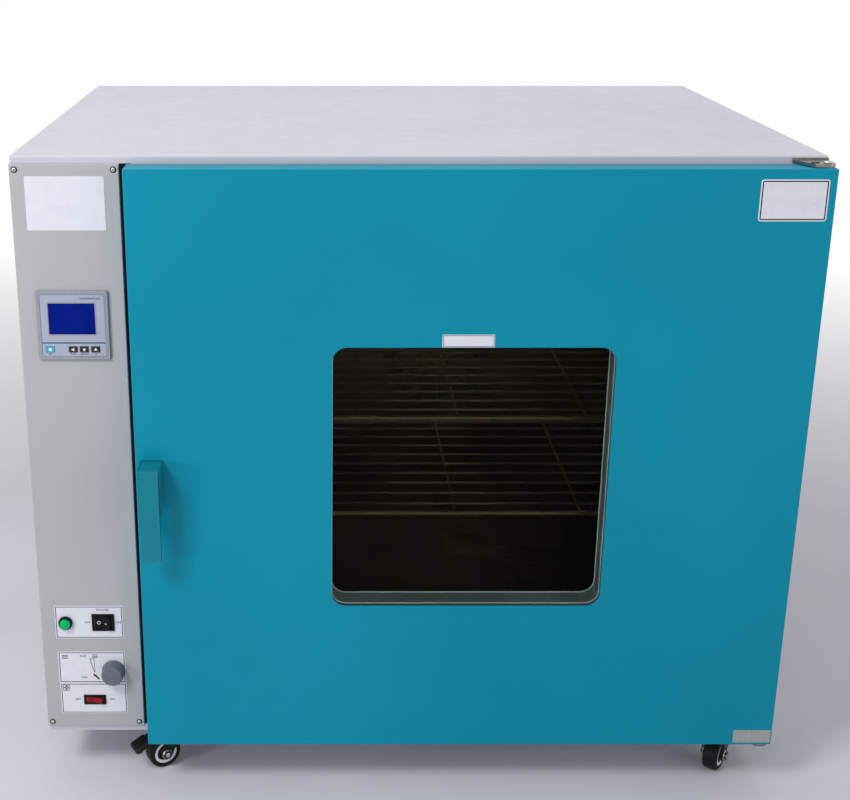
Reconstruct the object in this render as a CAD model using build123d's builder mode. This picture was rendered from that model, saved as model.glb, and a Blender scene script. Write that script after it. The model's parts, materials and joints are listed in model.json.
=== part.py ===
from build123d import *
from math import cos, radians, sin, sqrt, tan
import os

# Forced-air drying oven on casters: a sheet-steel cabinet with a control bay on
# the left, a heated chamber with wire shelves, and one glazed door hinged on the
# right. Millimetres, +Z up, the front faces -Y, the origin lies on the floor
# under the middle of the whole oven.

os.makedirs("parts", exist_ok=True)

# Cabinet
body_w = 1055.0
body_h = 855.0
body_d = 738.0
caster_h = 76.0
sheet_t = 1.5
tray_flange_h = 20.0
bend_r = 2.5
bay_w = 146.0
insulation_t = 64.0
slab_gap = 0.45
liner_t = 1.2
motor_bay_d = 112.0

# Control panel on the front of the bay
panel_w = 141.6
panel_bottom_gap = 12.0
panel_top_gap = 10.2
panel_proud = 5.8
panel_edge_r = 1.2
panel_screw_inset = 7.0
panel_screw_head_r = 4.2
panel_screw_head_h = 2.2
panel_screw_r = 2.0
panel_screw_clearance = 0.2
bay_opening_inset = 12.0

# Controls, placed from the panel's lower left corner
controller_size = 96.0
controller_x = 72.0
controller_z = 617.5
controller_bezel_h = 4.0
controller_body_size = 91.0
controller_body_d = 75.0
controller_face_inset = 5.0
controller_face_recess = 0.8
controller_corner_r = 3.0
cutout_clearance = 0.4
screen_w = 62.8
screen_h = 43.6
screen_x = 70.8
screen_z = 626.8
screen_t = 1.0
key_w = 11.5
key_h = 8.0
key_corner_r = 1.4
key_z = 584.3
menu_key_x = 39.8
arrow_key_x = (70.4, 85.2, 100.6)
key_proud = 1.2
key_depth = 3.5
key_travel = 0.8
key_clearance = 0.3

lamp_x = 35.5
lamp_z = 171.4
lamp_r = 10.0
lamp_bezel_h = 5.0
lamp_lens_r = 7.6
lamp_lens_proud = 10.0
lamp_body_r = 6.5
lamp_body_d = 28.0

power_switch_x = 89.3
power_switch_z = 171.9
power_switch_w = 32.0
power_switch_h = 26.6
fan_switch_x = 71.3
fan_switch_z = 45.1
fan_switch_w = 32.0
fan_switch_h = 15.2
switch_bezel_h = 2.0
switch_rim_w = 2.4
switch_rim_h = 2.2
switch_body_d = 22.0
rocker_tilt = 11.0
rocker_crest = 3.4
rocker_pivot_depth = 3.0
rocker_clearance = 0.3
rocker_tail = 4.0
trunnion_r = 1.5
trunnion_l = 1.0
running_clearance = 0.05

knob_x = 100.9
knob_z = 93.2
knob_base_r = 17.0
knob_face_r = 14.5
knob_h = 18.5
knob_gap = 1.0
knob_flutes = 20
knob_flute_w = 2.4
knob_edge_r = 1.2
knob_shaft_r = 3.0
knob_shaft_l = 24.0
knob_pointer_w = 1.4
knob_pointer_depth = 0.6
nut_across = 13.0
nut_h = 2.5
bush_r = 4.6
bush_h = 5.5
regulator_r = 14.0
regulator_d = 20.0

# Door
door_side_gap = 9.3
door_edge_inset = 0.3
door_bottom_inset = 3.5
door_top_inset = 10.0
door_t = 35.8
door_skin_t = 1.5
door_edge_r = 1.6
door_proud_of_panel = 35.6
window_w = 374.7
window_h = 379.7
window_left = 265.7
window_bottom = 225.8
window_corner_r = 20.0
glass_t = 5.0
glass_overlap = 10.0
window_frame_t = 1.2
plug_gap = 5.0
plug_h = 12.0
seal_w = 16.0
seal_lap = 2.0
seal_clearance = 0.3

# Door hinges
hinge_axis_inset = 9.5
hinge_axis_depth = 16.5
hinge_pin_r = 4.0
hinge_pin_l = 16.0
hinge_plate_t = 4.0
hinge_plate_l = 37.0
hinge_plate_back = 11.0
hinge_clearance = 0.2
bush_wall = 2.5
bush_flange_t = 0.8
bush_flange_w = 1.5
hinge_block_w = 40.0
hinge_block_h = 22.0

# Handle on the door's free edge
handle_x = 22.0
handle_w = 29.6
handle_cheek_t = 1.5
handle_top = 446.2
handle_base_h = 66.0
handle_base_rise = 12.0
handle_base_reach = 37.0
handle_reach = 40.0
handle_side_clearance = 0.3
lever_l = 134.0
lever_t = 8.5
lever_root_h = 17.0
lever_rear_gap = 5.0
lever_taper = 2.5
lever_corner_r = 2.0
pivot_depth = 14.0
pivot_drop = 9.0
pivot_r = 3.0
claw_t = 5.0
claw_arm_h = 6.0
claw_l = 45.0
claw_slot_w = 13.0
claw_slot_h = 32.0
striker_bar_r = 2.5
striker_w = 11.0
striker_arm_t = 2.0
striker_reach = 22.0
striker_clearance = 0.3
striker_foot_h = 40.0

# Chamber fittings
rail_panel_gap = 12.0
rail_t = 1.2
rail_rib_reach = 13.0
rail_rib_h = 16.0
rail_pitch = 50.0
rail_first = 140.0
rail_top_gap = 80.0
rail_front_gap = 30.0
shelf_levels = {"lower_shelf": 3, "upper_shelf": 6}
shelf_front_gap = 80.0
shelf_back_gap = 4.0
shelf_side_gap = 3.0
shelf_rim_r = 4.0
shelf_wire_r = 2.0
shelf_wires = 9
wire_sides = 8
shelf_cross_wires = 3
shelf_corner_r = 20.0
shelf_seat_gap = 0.3
baffle_d = 80.0
baffle_t = 1.2
baffle_side_gap = 4.0
intake_r = 92.0
intake_slots = 16
intake_slot_l = 58.0
intake_slot_w = 10.0
outlet_slot_l = 90.0
outlet_slot_w = 10.0
outlet_rows = 5
outlet_inset = 40.0

# Fan
fan_r = 105.0
fan_hub_r = 16.0
fan_blades = 14
fan_blade_w = 38.0
fan_blade_t = 1.5
fan_blade_inner_r = 66.0
fan_blade_angle = 32.0
fan_plate_t = 1.5
fan_wall_gap = 14.0
shaft_r = 6.0
shaft_hole_r = 10.0
shaft_grip = 40.0
motor_r = 52.0
motor_l = 84.0
motor_flange_r = 64.0
motor_flange_t = 4.0
motor_fins = 12
motor_fin_h = 4.0
motor_fin_t = 3.0
motor_edge_r = 5.0

# Heater, probe, vent and cable inlet
heater_tube_r = 4.0
heater_loop_r = 128.0
heater_gap = 18.0
heater_bend_r = 25.0
probe_r = 3.0
probe_l = 95.0
probe_flange_r = 9.0
probe_flange_t = 3.0
probe_top_gap = 55.0
probe_hole_clearance = 0.5
vent_r = 25.0
vent_t = 1.5
vent_reach = 35.0
vent_flange_r = 38.0
vent_flange_t = 2.0
vent_x = 250.0
vent_top_gap = 130.0
vent_clearance = 0.3
gland_r = 8.0
gland_l = 16.0
gland_nut_across = 24.0
gland_nut_h = 6.0
gland_hole_r = 4.0
gland_z = 60.0
louvre_l = 70.0
louvre_w = 5.0
louvre_pitch = 14.0
louvre_rows = 6

# Casters
caster_inset = 46.0
caster_bay_inset = 38.0
caster_front_inset = 40.0
wheel_r = 25.0
wheel_w = 22.0
wheel_edge_r = 4.0
wheel_recess = 3.0
wheel_recess_r = 18.0
hub_r = 9.0
caster_trail = 24.0
axle_r = 4.0
fork_gap = 0.3
fork_t = 2.5
fork_side_gap = 1.5
fork_crown_r = 21.0
fork_crown_t = 5.7
fork_end_r = 9.0
axle_nut_across = 12.0
axle_nut_h = 4.0
mount_plate_w = 56.0
mount_plate_t = 2.5
mount_bowl_r = 20.0
mount_bowl_h = 7.5
king_pin_r = 5.0
king_head_r = 8.0
king_head_h = 3.7
swivel_gap = 0.3
pedal_pivot_x = 11.0
pedal_pivot_drop = 1.5
pedal_hub_r = 3.5
pedal_t = 3.0
pedal_w = 24.0
pedal_flat_l = 24.0
pedal_tip_l = 30.0
pedal_tip_drop = 13.0
pedal_pad_r = 4.0
pedal_pin_r = 2.0

# Derived places
overall_d = handle_reach + door_t + (panel_proud - door_t + door_proud_of_panel) + body_d + vent_reach
y_handle = -overall_d / 2
y_door = y_handle + handle_reach
y_door_back = y_door + door_t
y_panel = y_door + door_proud_of_panel
y_frame = y_panel + panel_proud
y_back = y_frame + body_d
y_body_mid = (y_frame + y_back) / 2
x_left = -body_w / 2
x_right = body_w / 2
z_bottom = caster_h
z_top = caster_h + body_h
panel_z = z_bottom + panel_bottom_gap
panel_h = body_h - panel_bottom_gap - panel_top_gap

y_inside = y_frame + sheet_t
y_rear_wall = y_back - sheet_t - motor_bay_d - sheet_t
x_bay_wall = x_left + bay_w
x_chamber_shell = x_bay_wall + sheet_t
x_inner_right = x_right - sheet_t
z_inner_bottom = z_bottom + sheet_t
z_inner_top = z_top - sheet_t
liner_x0 = x_chamber_shell + insulation_t
liner_x1 = x_inner_right - insulation_t
liner_z0 = z_inner_bottom + insulation_t
liner_z1 = z_inner_top - insulation_t
y_liner_back = y_rear_wall - insulation_t
cavity_x0 = liner_x0 + liner_t
cavity_x1 = liner_x1 - liner_t
cavity_z0 = liner_z0 + liner_t
cavity_z1 = liner_z1 - liner_t
y_cavity_back = y_liner_back - liner_t
cavity_w = cavity_x1 - cavity_x0
cavity_h = cavity_z1 - cavity_z0
cavity_x = (cavity_x0 + cavity_x1) / 2
cavity_z = (cavity_z0 + cavity_z1) / 2
fan_x = cavity_x
fan_z = cavity_z

door_x0 = x_left + panel_w + door_side_gap
door_x1 = x_right - door_edge_inset
door_z0 = z_bottom + door_bottom_inset
door_z1 = z_top - door_top_inset
door_w = door_x1 - door_x0
door_h = door_z1 - door_z0
door_x = (door_x0 + door_x1) / 2
door_z = (door_z0 + door_z1) / 2
window_x = door_x0 + window_left + window_w / 2
window_z = door_z0 + window_bottom + window_h / 2
plug_w = cavity_w - 2 * plug_gap
plug_height = cavity_h - 2 * plug_gap
y_plug = y_door_back + plug_h
hinge_x = door_x1 - hinge_axis_inset
hinge_y = y_door + hinge_axis_depth
handle_mid_x = door_x0 + handle_x
handle_top_z = door_z0 + handle_top
pivot_y = y_door - pivot_depth
pivot_z = handle_top_z - pivot_drop


def front_plane(y):
    """Upright plane at depth y that faces the front: local x is X, local y is Z."""
    return Plane.XZ.offset(-y)


def side_plane(x):
    """Upright plane at x that faces right: local x is Y, local y is Z."""
    return Plane.YZ.offset(x)


def finish(piece, name):
    """Label a finished piece and write it as a part of its own."""
    piece.part.label = name
    export_step(piece.part, f"parts/{name}.step")


def panel_point(x, z):
    """A point of the control panel's face, from its lower left corner."""
    return (x_left + x, panel_z + z)


# Outer casing: two trays with turned flanges, and plain sheets between them
with BuildPart() as top_cover:
    with BuildSketch(Plane.XY.offset(z_top - tray_flange_h)):
        with Locations((0, y_body_mid)):
            Rectangle(body_w, body_d)
    extrude(amount=tray_flange_h)
    fillet(top_cover.edges().filter_by(Axis.Z), bend_r)
    fillet(top_cover.faces().sort_by(Axis.Z)[-1].edges(), bend_r)
    offset(amount=-sheet_t, openings=top_cover.faces().sort_by(Axis.Z)[0])
finish(top_cover, "top_cover")

with BuildPart() as base_pan:
    with BuildSketch(Plane.XY.offset(z_bottom)):
        with Locations((0, y_body_mid)):
            Rectangle(body_w, body_d)
    extrude(amount=tray_flange_h)
    fillet(base_pan.edges().filter_by(Axis.Z), bend_r)
    fillet(base_pan.faces().sort_by(Axis.Z)[0].edges(), bend_r)
    offset(amount=-sheet_t, openings=base_pan.faces().sort_by(Axis.Z)[-1])
finish(base_pan, "base_pan")

wall_h = body_h - 2 * tray_flange_h
wall_z = (z_bottom + z_top) / 2
side_d = body_d - 2 * sheet_t

with BuildPart() as left_side_panel:
    with BuildSketch(side_plane(x_left)):
        with Locations((y_body_mid, wall_z)):
            Rectangle(side_d, wall_h)
        with Locations((y_body_mid, wall_z - wall_h / 4)):
            with GridLocations(2 * louvre_l, louvre_pitch, 2, louvre_rows):
                Rectangle(louvre_l, louvre_w, mode=Mode.SUBTRACT)
    extrude(amount=sheet_t)
finish(left_side_panel, "left_side_panel")

with BuildPart() as right_side_panel:
    with BuildSketch(side_plane(x_right - sheet_t)):
        with Locations((y_body_mid, wall_z)):
            Rectangle(side_d, wall_h)
    extrude(amount=sheet_t)
finish(right_side_panel, "right_side_panel")

vent_z = cavity_z1 - vent_top_gap
with BuildPart() as rear_cover:
    with BuildSketch(front_plane(y_back - sheet_t)):
        with Locations((0, wall_z)):
            Rectangle(body_w, wall_h)
        with Locations((fan_x, fan_z)):
            with GridLocations(2 * louvre_l, louvre_pitch, 2, louvre_rows):
                Rectangle(louvre_l, louvre_w, mode=Mode.SUBTRACT)
        with Locations((vent_x, vent_z)):
            Circle(vent_r + vent_clearance, mode=Mode.SUBTRACT)
        with Locations((x_left + bay_w / 2, z_bottom + gland_z)):
            Circle(gland_r + vent_clearance, mode=Mode.SUBTRACT)
    extrude(amount=-sheet_t)
finish(rear_cover, "rear_cover")

# Front frame with the mouths of the control bay and of the chamber
bay_opening_w = panel_w - 2 * bay_opening_inset
bay_opening_h = panel_h - 2 * bay_opening_inset - tray_flange_h
with BuildPart() as front_frame:
    with BuildSketch(front_plane(y_frame)):
        with Locations((0, wall_z)):
            Rectangle(body_w, wall_h)
        with Locations((cavity_x, cavity_z)):
            Rectangle(cavity_w, cavity_h, mode=Mode.SUBTRACT)
        with Locations((x_left + panel_w / 2, wall_z)):
            Rectangle(bay_opening_w, bay_opening_h, mode=Mode.SUBTRACT)
    extrude(amount=-sheet_t)
finish(front_frame, "front_frame")

# Chamber liner, open at the front, with its shaft, vent and probe holes
probe_z = cavity_z1 - probe_top_gap
y_probe = y_cavity_back - baffle_d - probe_top_gap
probe_hole_r = probe_r + probe_hole_clearance
with BuildPart() as inner_chamber:
    with BuildSketch(front_plane(y_inside)):
        with Locations((cavity_x, cavity_z)):
            Rectangle(cavity_w + 2 * liner_t, cavity_h + 2 * liner_t)
    extrude(amount=-(y_liner_back - y_inside))
    with BuildSketch(front_plane(y_inside)):
        with Locations((cavity_x, cavity_z)):
            Rectangle(cavity_w, cavity_h)
    extrude(amount=-(y_cavity_back - y_inside), mode=Mode.SUBTRACT)
    with BuildSketch(front_plane(y_cavity_back)):
        with Locations((fan_x, fan_z)):
            Circle(shaft_hole_r)
        with Locations((vent_x, vent_z)):
            Circle(vent_r)
    extrude(amount=-liner_t, mode=Mode.SUBTRACT)
    with BuildSketch(side_plane(liner_x0)):
        with Locations((y_probe, probe_z)):
            Circle(probe_hole_r)
    extrude(amount=liner_t, mode=Mode.SUBTRACT)
finish(inner_chamber, "inner_chamber")

# Mineral wool slabs: top, bottom, left, right and back
wool_x1 = x_inner_right - slab_gap
wool_y0 = y_inside + slab_gap
wool_z0 = z_inner_bottom + slab_gap
wool_z1 = z_inner_top - slab_gap
shell_w = wool_x1 - x_chamber_shell
shell_x = (wool_x1 + x_chamber_shell) / 2
shell_d = y_rear_wall - wool_y0
shell_y = (y_rear_wall + wool_y0) / 2
slab_h = liner_z1 - liner_z0 - 2 * slab_gap
with BuildPart() as insulation:
    for slab_z in ((wool_z0 + liner_z0) / 2, (wool_z1 + liner_z1) / 2):
        with Locations((shell_x, shell_y, slab_z)):
            Box(shell_w, shell_d, liner_z0 - wool_z0)
    for slab_x0, slab_x1 in ((x_chamber_shell, liner_x0), (liner_x1, wool_x1)):
        with Locations(((slab_x0 + slab_x1) / 2, shell_y, cavity_z)):
            Box(slab_x1 - slab_x0, shell_d, slab_h)
    with Locations((cavity_x, y_liner_back + insulation_t / 2, cavity_z)):
        Box(liner_x1 - liner_x0 - 2 * slab_gap, insulation_t, slab_h)
    with BuildSketch(front_plane(y_liner_back)):
        with Locations((fan_x, fan_z)):
            Circle(shaft_hole_r)
        with Locations((vent_x, vent_z)):
            Circle(vent_r + vent_clearance)
    extrude(amount=-insulation_t, mode=Mode.SUBTRACT)
    with BuildSketch(side_plane(x_chamber_shell)):
        with Locations((y_probe, probe_z)):
            Circle(probe_hole_r)
    extrude(amount=insulation_t, mode=Mode.SUBTRACT)
finish(insulation, "insulation")

# One bent sheet parts the control bay and the motor bay from the chamber
with BuildPart() as bay_partition:
    with BuildSketch(Plane.XY.offset(wool_z0)):
        with BuildLine():
            Polyline(
                (x_bay_wall, wool_y0),
                (x_bay_wall, y_rear_wall + sheet_t),
                (wool_x1, y_rear_wall + sheet_t),
                (wool_x1, y_rear_wall),
                (x_chamber_shell, y_rear_wall),
                (x_chamber_shell, wool_y0),
                close=True,
            )
        make_face()
    extrude(amount=wool_z1 - wool_z0)
    with BuildSketch(front_plane(y_rear_wall)):
        with Locations((fan_x, fan_z)):
            Circle(shaft_hole_r)
        with Locations((vent_x, vent_z)):
            Circle(vent_r + vent_clearance)
    extrude(amount=-sheet_t, mode=Mode.SUBTRACT)
    with BuildSketch(side_plane(x_bay_wall)):
        with Locations((y_probe, probe_z)):
            Circle(probe_hole_r)
    extrude(amount=sheet_t, mode=Mode.SUBTRACT)
finish(bay_partition, "bay_partition")

# Control panel: a shallow pan with the cut-outs of its controls
controller_at = panel_point(controller_x, controller_z)
lamp_at = panel_point(lamp_x, lamp_z)
power_at = panel_point(power_switch_x, power_switch_z)
fan_switch_at = panel_point(fan_switch_x, fan_switch_z)
knob_at = panel_point(knob_x, knob_z)
panel_mid = (x_left + panel_w / 2, panel_z + panel_h / 2)
screw_span_x = panel_w - 2 * panel_screw_inset
screw_span_z = panel_h - 2 * panel_screw_inset
switches = {
    "power": (power_at, power_switch_w, power_switch_h),
    "fan": (fan_switch_at, fan_switch_w, fan_switch_h),
}

with BuildPart() as control_panel:
    with BuildSketch(front_plane(y_frame)):
        with Locations(panel_mid):
            Rectangle(panel_w, panel_h)
    extrude(amount=panel_proud)
    fillet(control_panel.faces().sort_by(Axis.Y)[0].edges(), panel_edge_r)
    with BuildSketch(front_plane(y_frame)):
        with Locations(panel_mid):
            Rectangle(panel_w - 2 * sheet_t, panel_h - 2 * sheet_t)
    extrude(amount=panel_proud - sheet_t, mode=Mode.SUBTRACT)
    with BuildSketch(front_plane(y_panel)):
        with Locations(panel_mid):
            with GridLocations(screw_span_x, screw_span_z, 2, 2):
                Circle(panel_screw_r + panel_screw_clearance)
        with Locations(controller_at):
            Rectangle(controller_body_size + cutout_clearance, controller_body_size + cutout_clearance)
        with Locations(lamp_at):
            Circle(lamp_body_r + cutout_clearance / 2)
        with Locations(knob_at):
            Circle(bush_r + cutout_clearance / 2)
        for place, width, height in switches.values():
            with Locations(place):
                Rectangle(
                    width - 2 * switch_rim_w + cutout_clearance,
                    height - 2 * switch_rim_h + cutout_clearance,
                )
    extrude(amount=-sheet_t, mode=Mode.SUBTRACT)
finish(control_panel, "control_panel")

with BuildPart() as panel_screws:
    with BuildSketch(front_plane(y_panel)):
        with Locations(panel_mid):
            with GridLocations(screw_span_x, screw_span_z, 2, 2):
                Circle(panel_screw_head_r)
    extrude(amount=panel_screw_head_h)
    chamfer(panel_screws.faces().filter_by(Axis.Y).group_by(Axis.Y)[0].edges(), panel_screw_head_h / 2)
    with BuildSketch(front_plane(y_panel)):
        with Locations(panel_mid):
            with GridLocations(screw_span_x, screw_span_z, 2, 2):
                Circle(panel_screw_r)
    extrude(amount=-panel_proud)
finish(panel_screws, "panel_screws")

# Temperature controller: bezel and body, display glass and four keys
y_bezel = y_panel - controller_bezel_h
y_face = y_bezel + controller_face_recess
y_key_pocket = y_face + key_depth + key_travel + key_clearance
key_row = {"key_menu": menu_key_x}
key_row.update(zip(("key_left", "key_down", "key_up"), arrow_key_x))
face_size = controller_size - 2 * controller_face_inset

with BuildPart() as controller_housing:
    with BuildSketch(front_plane(y_panel)):
        with Locations(controller_at):
            RectangleRounded(controller_size, controller_size, controller_corner_r)
    extrude(amount=controller_bezel_h)
    chamfer(controller_housing.faces().sort_by(Axis.Y)[0].edges(), controller_face_recess)
    with BuildSketch(front_plane(y_panel)):
        with Locations(controller_at):
            Rectangle(controller_body_size, controller_body_size)
    extrude(amount=-controller_body_d)
    with BuildSketch(front_plane(y_bezel)):
        with Locations(controller_at):
            RectangleRounded(face_size, face_size, controller_corner_r)
    extrude(amount=-controller_face_recess, mode=Mode.SUBTRACT)
    with BuildSketch(front_plane(y_face)):
        with Locations(panel_point(screen_x, screen_z)):
            Rectangle(screen_w, screen_h)
    extrude(amount=-screen_t, mode=Mode.SUBTRACT)
    with BuildSketch(front_plane(y_face)):
        for place_x in key_row.values():
            with Locations(panel_point(place_x, key_z)):
                RectangleRounded(
                    key_w + 2 * key_clearance,
                    key_h + 2 * key_clearance,
                    key_corner_r + key_clearance,
                )
    extrude(amount=-(y_key_pocket - y_face), mode=Mode.SUBTRACT)
finish(controller_housing, "controller_housing")

with BuildPart() as controller_screen:
    with BuildSketch(front_plane(y_face)):
        with Locations(panel_point(screen_x, screen_z)):
            Rectangle(screen_w, screen_h)
    extrude(amount=-screen_t)
finish(controller_screen, "controller_screen")

for key_name, place_x in key_row.items():
    with BuildPart() as key:
        with BuildSketch(front_plane(y_face + key_depth)):
            with Locations(panel_point(place_x, key_z)):
                RectangleRounded(key_w, key_h, key_corner_r)
        extrude(amount=key_depth + key_proud)
        chamfer(key.faces().sort_by(Axis.Y)[0].edges(), key_proud / 3)
    finish(key, key_name)

# Pilot lamp
with BuildPart() as lamp_bezel:
    with BuildSketch(front_plane(y_panel)):
        with Locations(lamp_at):
            Circle(lamp_r)
    extrude(amount=lamp_bezel_h)
    chamfer(lamp_bezel.faces().sort_by(Axis.Y)[0].edges(), lamp_bezel_h / 4)
    with BuildSketch(front_plane(y_panel)):
        with Locations(lamp_at):
            Circle(lamp_body_r)
    extrude(amount=-lamp_body_d)
    with BuildSketch(front_plane(y_panel - lamp_bezel_h)):
        with Locations(lamp_at):
            Circle(lamp_lens_r)
    extrude(amount=-lamp_bezel_h / 2, mode=Mode.SUBTRACT)
finish(lamp_bezel, "lamp_bezel")

with BuildPart() as lamp_lens:
    with BuildSketch(front_plane(y_panel - lamp_bezel_h / 2)):
        with Locations(lamp_at):
            Circle(lamp_lens_r)
    extrude(amount=lamp_lens_proud - lamp_bezel_h / 2)
    fillet(lamp_lens.faces().sort_by(Axis.Y)[0].edges(), lamp_bezel_h / 2)
finish(lamp_lens, "lamp_lens")

# Rocker switches: a body with a pocket, and a rocker on two trunnions that
# turns about a vertical axis. A rocker's ends are arcs about that axis.
y_switch_face = y_panel - switch_bezel_h
y_rocker_pivot = y_switch_face + rocker_pivot_depth
with BuildPart() as switch_housings:
    for place, width, height in switches.values():
        pocket_w = width - 2 * switch_rim_w
        pocket_h = height - 2 * switch_rim_h
        with BuildSketch(front_plane(y_panel)):
            with Locations(place):
                Rectangle(width, height)
        extrude(amount=switch_bezel_h)
        with BuildSketch(front_plane(y_panel)):
            with Locations(place):
                Rectangle(pocket_w, pocket_h)
        extrude(amount=-switch_body_d)
        cavity_depth = rocker_pivot_depth + rocker_tail + 2 * rocker_clearance
        with BuildSketch(front_plane(y_switch_face)):
            with Locations(place):
                Rectangle(pocket_w - switch_rim_w, pocket_h - switch_rim_h)
        extrude(amount=-cavity_depth, mode=Mode.SUBTRACT)
        trunnion_span = pocket_h - switch_rim_h + 2 * trunnion_l
        with BuildSketch(Plane.XY.offset(place[1] - trunnion_span / 2)):
            with Locations((place[0], y_rocker_pivot)):
                Circle(trunnion_r + running_clearance)
        extrude(amount=trunnion_span, mode=Mode.SUBTRACT)
finish(switch_housings, "switch_housings")


def rocker(place, width, height, name):
    """A see-saw cap pressed in on its left half, with its right half raised."""
    cap_r = (width - 3 * switch_rim_w) / 2 - rocker_clearance
    cap_h = height - 3 * switch_rim_h - 2 * rocker_clearance
    tip_x = cap_r
    tip_y = rocker_crest + tip_x * tan(radians(rocker_tilt))
    pivot = Plane(
        origin=(place[0], y_rocker_pivot, place[1]),
        x_dir=(cos(radians(rocker_tilt)), -sin(radians(rocker_tilt)), 0),
        z_dir=(0, 0, 1),
    )
    with BuildPart() as cap:
        with BuildSketch(pivot.offset(-cap_h / 2)):
            Circle(cap_r)
            with BuildLine():
                Polyline(
                    (0, -rocker_crest),
                    (tip_x, -tip_y),
                    (tip_x, rocker_tail * cos(radians(rocker_tilt)) - tip_x * sin(radians(rocker_tilt))),
                    (-tip_x, rocker_tail * cos(radians(rocker_tilt)) - tip_x * sin(radians(rocker_tilt))),
                    (-tip_x, -tip_y),
                    close=True,
                )
            make_face(mode=Mode.INTERSECT)
        extrude(amount=cap_h)
        with BuildSketch(pivot.offset(-cap_h / 2 - trunnion_l)):
            Circle(trunnion_r)
        extrude(amount=cap_h + 2 * trunnion_l)
    finish(cap, name)


rocker(*switches["power"], "power_rocker")
rocker(*switches["fan"], "fan_rocker")

# Fan speed regulator behind the panel, and its knob with the shaft
y_bush_end = y_panel - bush_h
with BuildPart() as speed_regulator:
    with BuildSketch(front_plane(y_panel + sheet_t)):
        with Locations(knob_at):
            Circle(regulator_r)
    extrude(amount=-regulator_d)
    with BuildSketch(front_plane(y_panel + sheet_t)):
        with Locations(knob_at):
            Circle(bush_r)
    extrude(amount=bush_h + sheet_t)
    with BuildSketch(front_plane(y_panel)):
        with Locations(knob_at):
            RegularPolygon(nut_across / 2, 6, major_radius=False)
    extrude(amount=nut_h)
    with BuildSketch(front_plane(y_bush_end)):
        with Locations(knob_at):
            Circle(knob_shaft_r + running_clearance)
    extrude(amount=-knob_shaft_l, mode=Mode.SUBTRACT)
finish(speed_regulator, "speed_regulator")

y_knob_base = y_panel - knob_gap
y_knob_face = y_knob_base - knob_h
knob_well_r = nut_across / sqrt(3) + knob_gap
knob_taper = 90 - Vector(knob_h, knob_base_r - knob_face_r).get_angle(Vector(0, 1))
with BuildPart() as speed_knob:
    with BuildSketch(front_plane(y_knob_base)):
        with Locations(knob_at):
            Circle(knob_base_r)
    extrude(amount=knob_h, taper=knob_taper)
    fillet(speed_knob.faces().sort_by(Axis.Y)[0].edges(), knob_edge_r)
    with BuildSketch(front_plane(y_knob_base - knob_h / 4)):
        with Locations(knob_at):
            with PolarLocations(knob_base_r, knob_flutes):
                Rectangle(knob_flute_w, knob_flute_w, rotation=45)
    extrude(amount=knob_h, mode=Mode.SUBTRACT)
    with BuildSketch(front_plane(y_knob_base)):
        with Locations(knob_at):
            Circle(knob_well_r)
    extrude(amount=bush_h, mode=Mode.SUBTRACT)
    with BuildSketch(front_plane(y_knob_face)):
        with Locations((knob_at[0], knob_at[1] + knob_face_r / 2)):
            Rectangle(knob_pointer_w, knob_face_r)
    extrude(amount=-knob_pointer_depth, mode=Mode.SUBTRACT)
    with BuildSketch(front_plane(y_knob_base - bush_h)):
        with Locations(knob_at):
            Circle(knob_shaft_r)
    extrude(amount=-knob_shaft_l)
finish(speed_knob, "speed_knob")

# Door: a deep outer pan and a flat inner panel whose raised plug enters the mouth
slot_x = handle_mid_x
slot_z = pivot_z - claw_slot_h / 2 + claw_arm_h
seat_w = window_w + 2 * glass_overlap
seat_h = window_h + 2 * glass_overlap
y_skin_back = y_door + door_skin_t
y_panel_front = y_door_back - door_skin_t
y_plug_skin = y_plug - door_skin_t
bush_r_out = hinge_pin_r + running_clearance + bush_wall
hinge_block_y = (y_skin_back + y_panel_front) / 2
hinge_block_d = y_panel_front - y_skin_back
hinge_blocks = (door_z1 - door_skin_t - hinge_block_h / 2, door_z0 + door_skin_t + hinge_block_h / 2)
hinge_block_x = door_x1 - door_skin_t - hinge_block_w / 2

with BuildPart() as door_outer_shell:
    with BuildSketch(front_plane(y_door_back)):
        with Locations((door_x, door_z)):
            Rectangle(door_w, door_h)
    extrude(amount=door_t)
    fillet(door_outer_shell.edges().filter_by(Axis.Y), door_edge_r)
    fillet(door_outer_shell.faces().sort_by(Axis.Y)[0].edges(), door_edge_r)
    with BuildSketch(front_plane(y_skin_back)):
        with Locations((door_x, door_z)):
            Rectangle(door_w - 2 * door_skin_t, door_h - 2 * door_skin_t)
    extrude(amount=-(door_t - door_skin_t), mode=Mode.SUBTRACT)
    for block_z in hinge_blocks:
        with Locations((hinge_block_x, hinge_block_y, block_z)):
            Box(hinge_block_w, hinge_block_d, hinge_block_h)
    with BuildSketch(front_plane(y_door)):
        with Locations((window_x, window_z)):
            RectangleRounded(window_w, window_h, window_corner_r)
        with Locations((slot_x, slot_z)):
            Rectangle(claw_slot_w, claw_slot_h)
    extrude(amount=-door_skin_t, mode=Mode.SUBTRACT)
    for end_z in (door_z1 - hinge_pin_l, door_z0):
        with BuildSketch(Plane.XY.offset(end_z)):
            with Locations((hinge_x, hinge_y)):
                Circle(bush_r_out)
        extrude(amount=hinge_pin_l, mode=Mode.SUBTRACT)
finish(door_outer_shell, "door_outer_shell")

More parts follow.
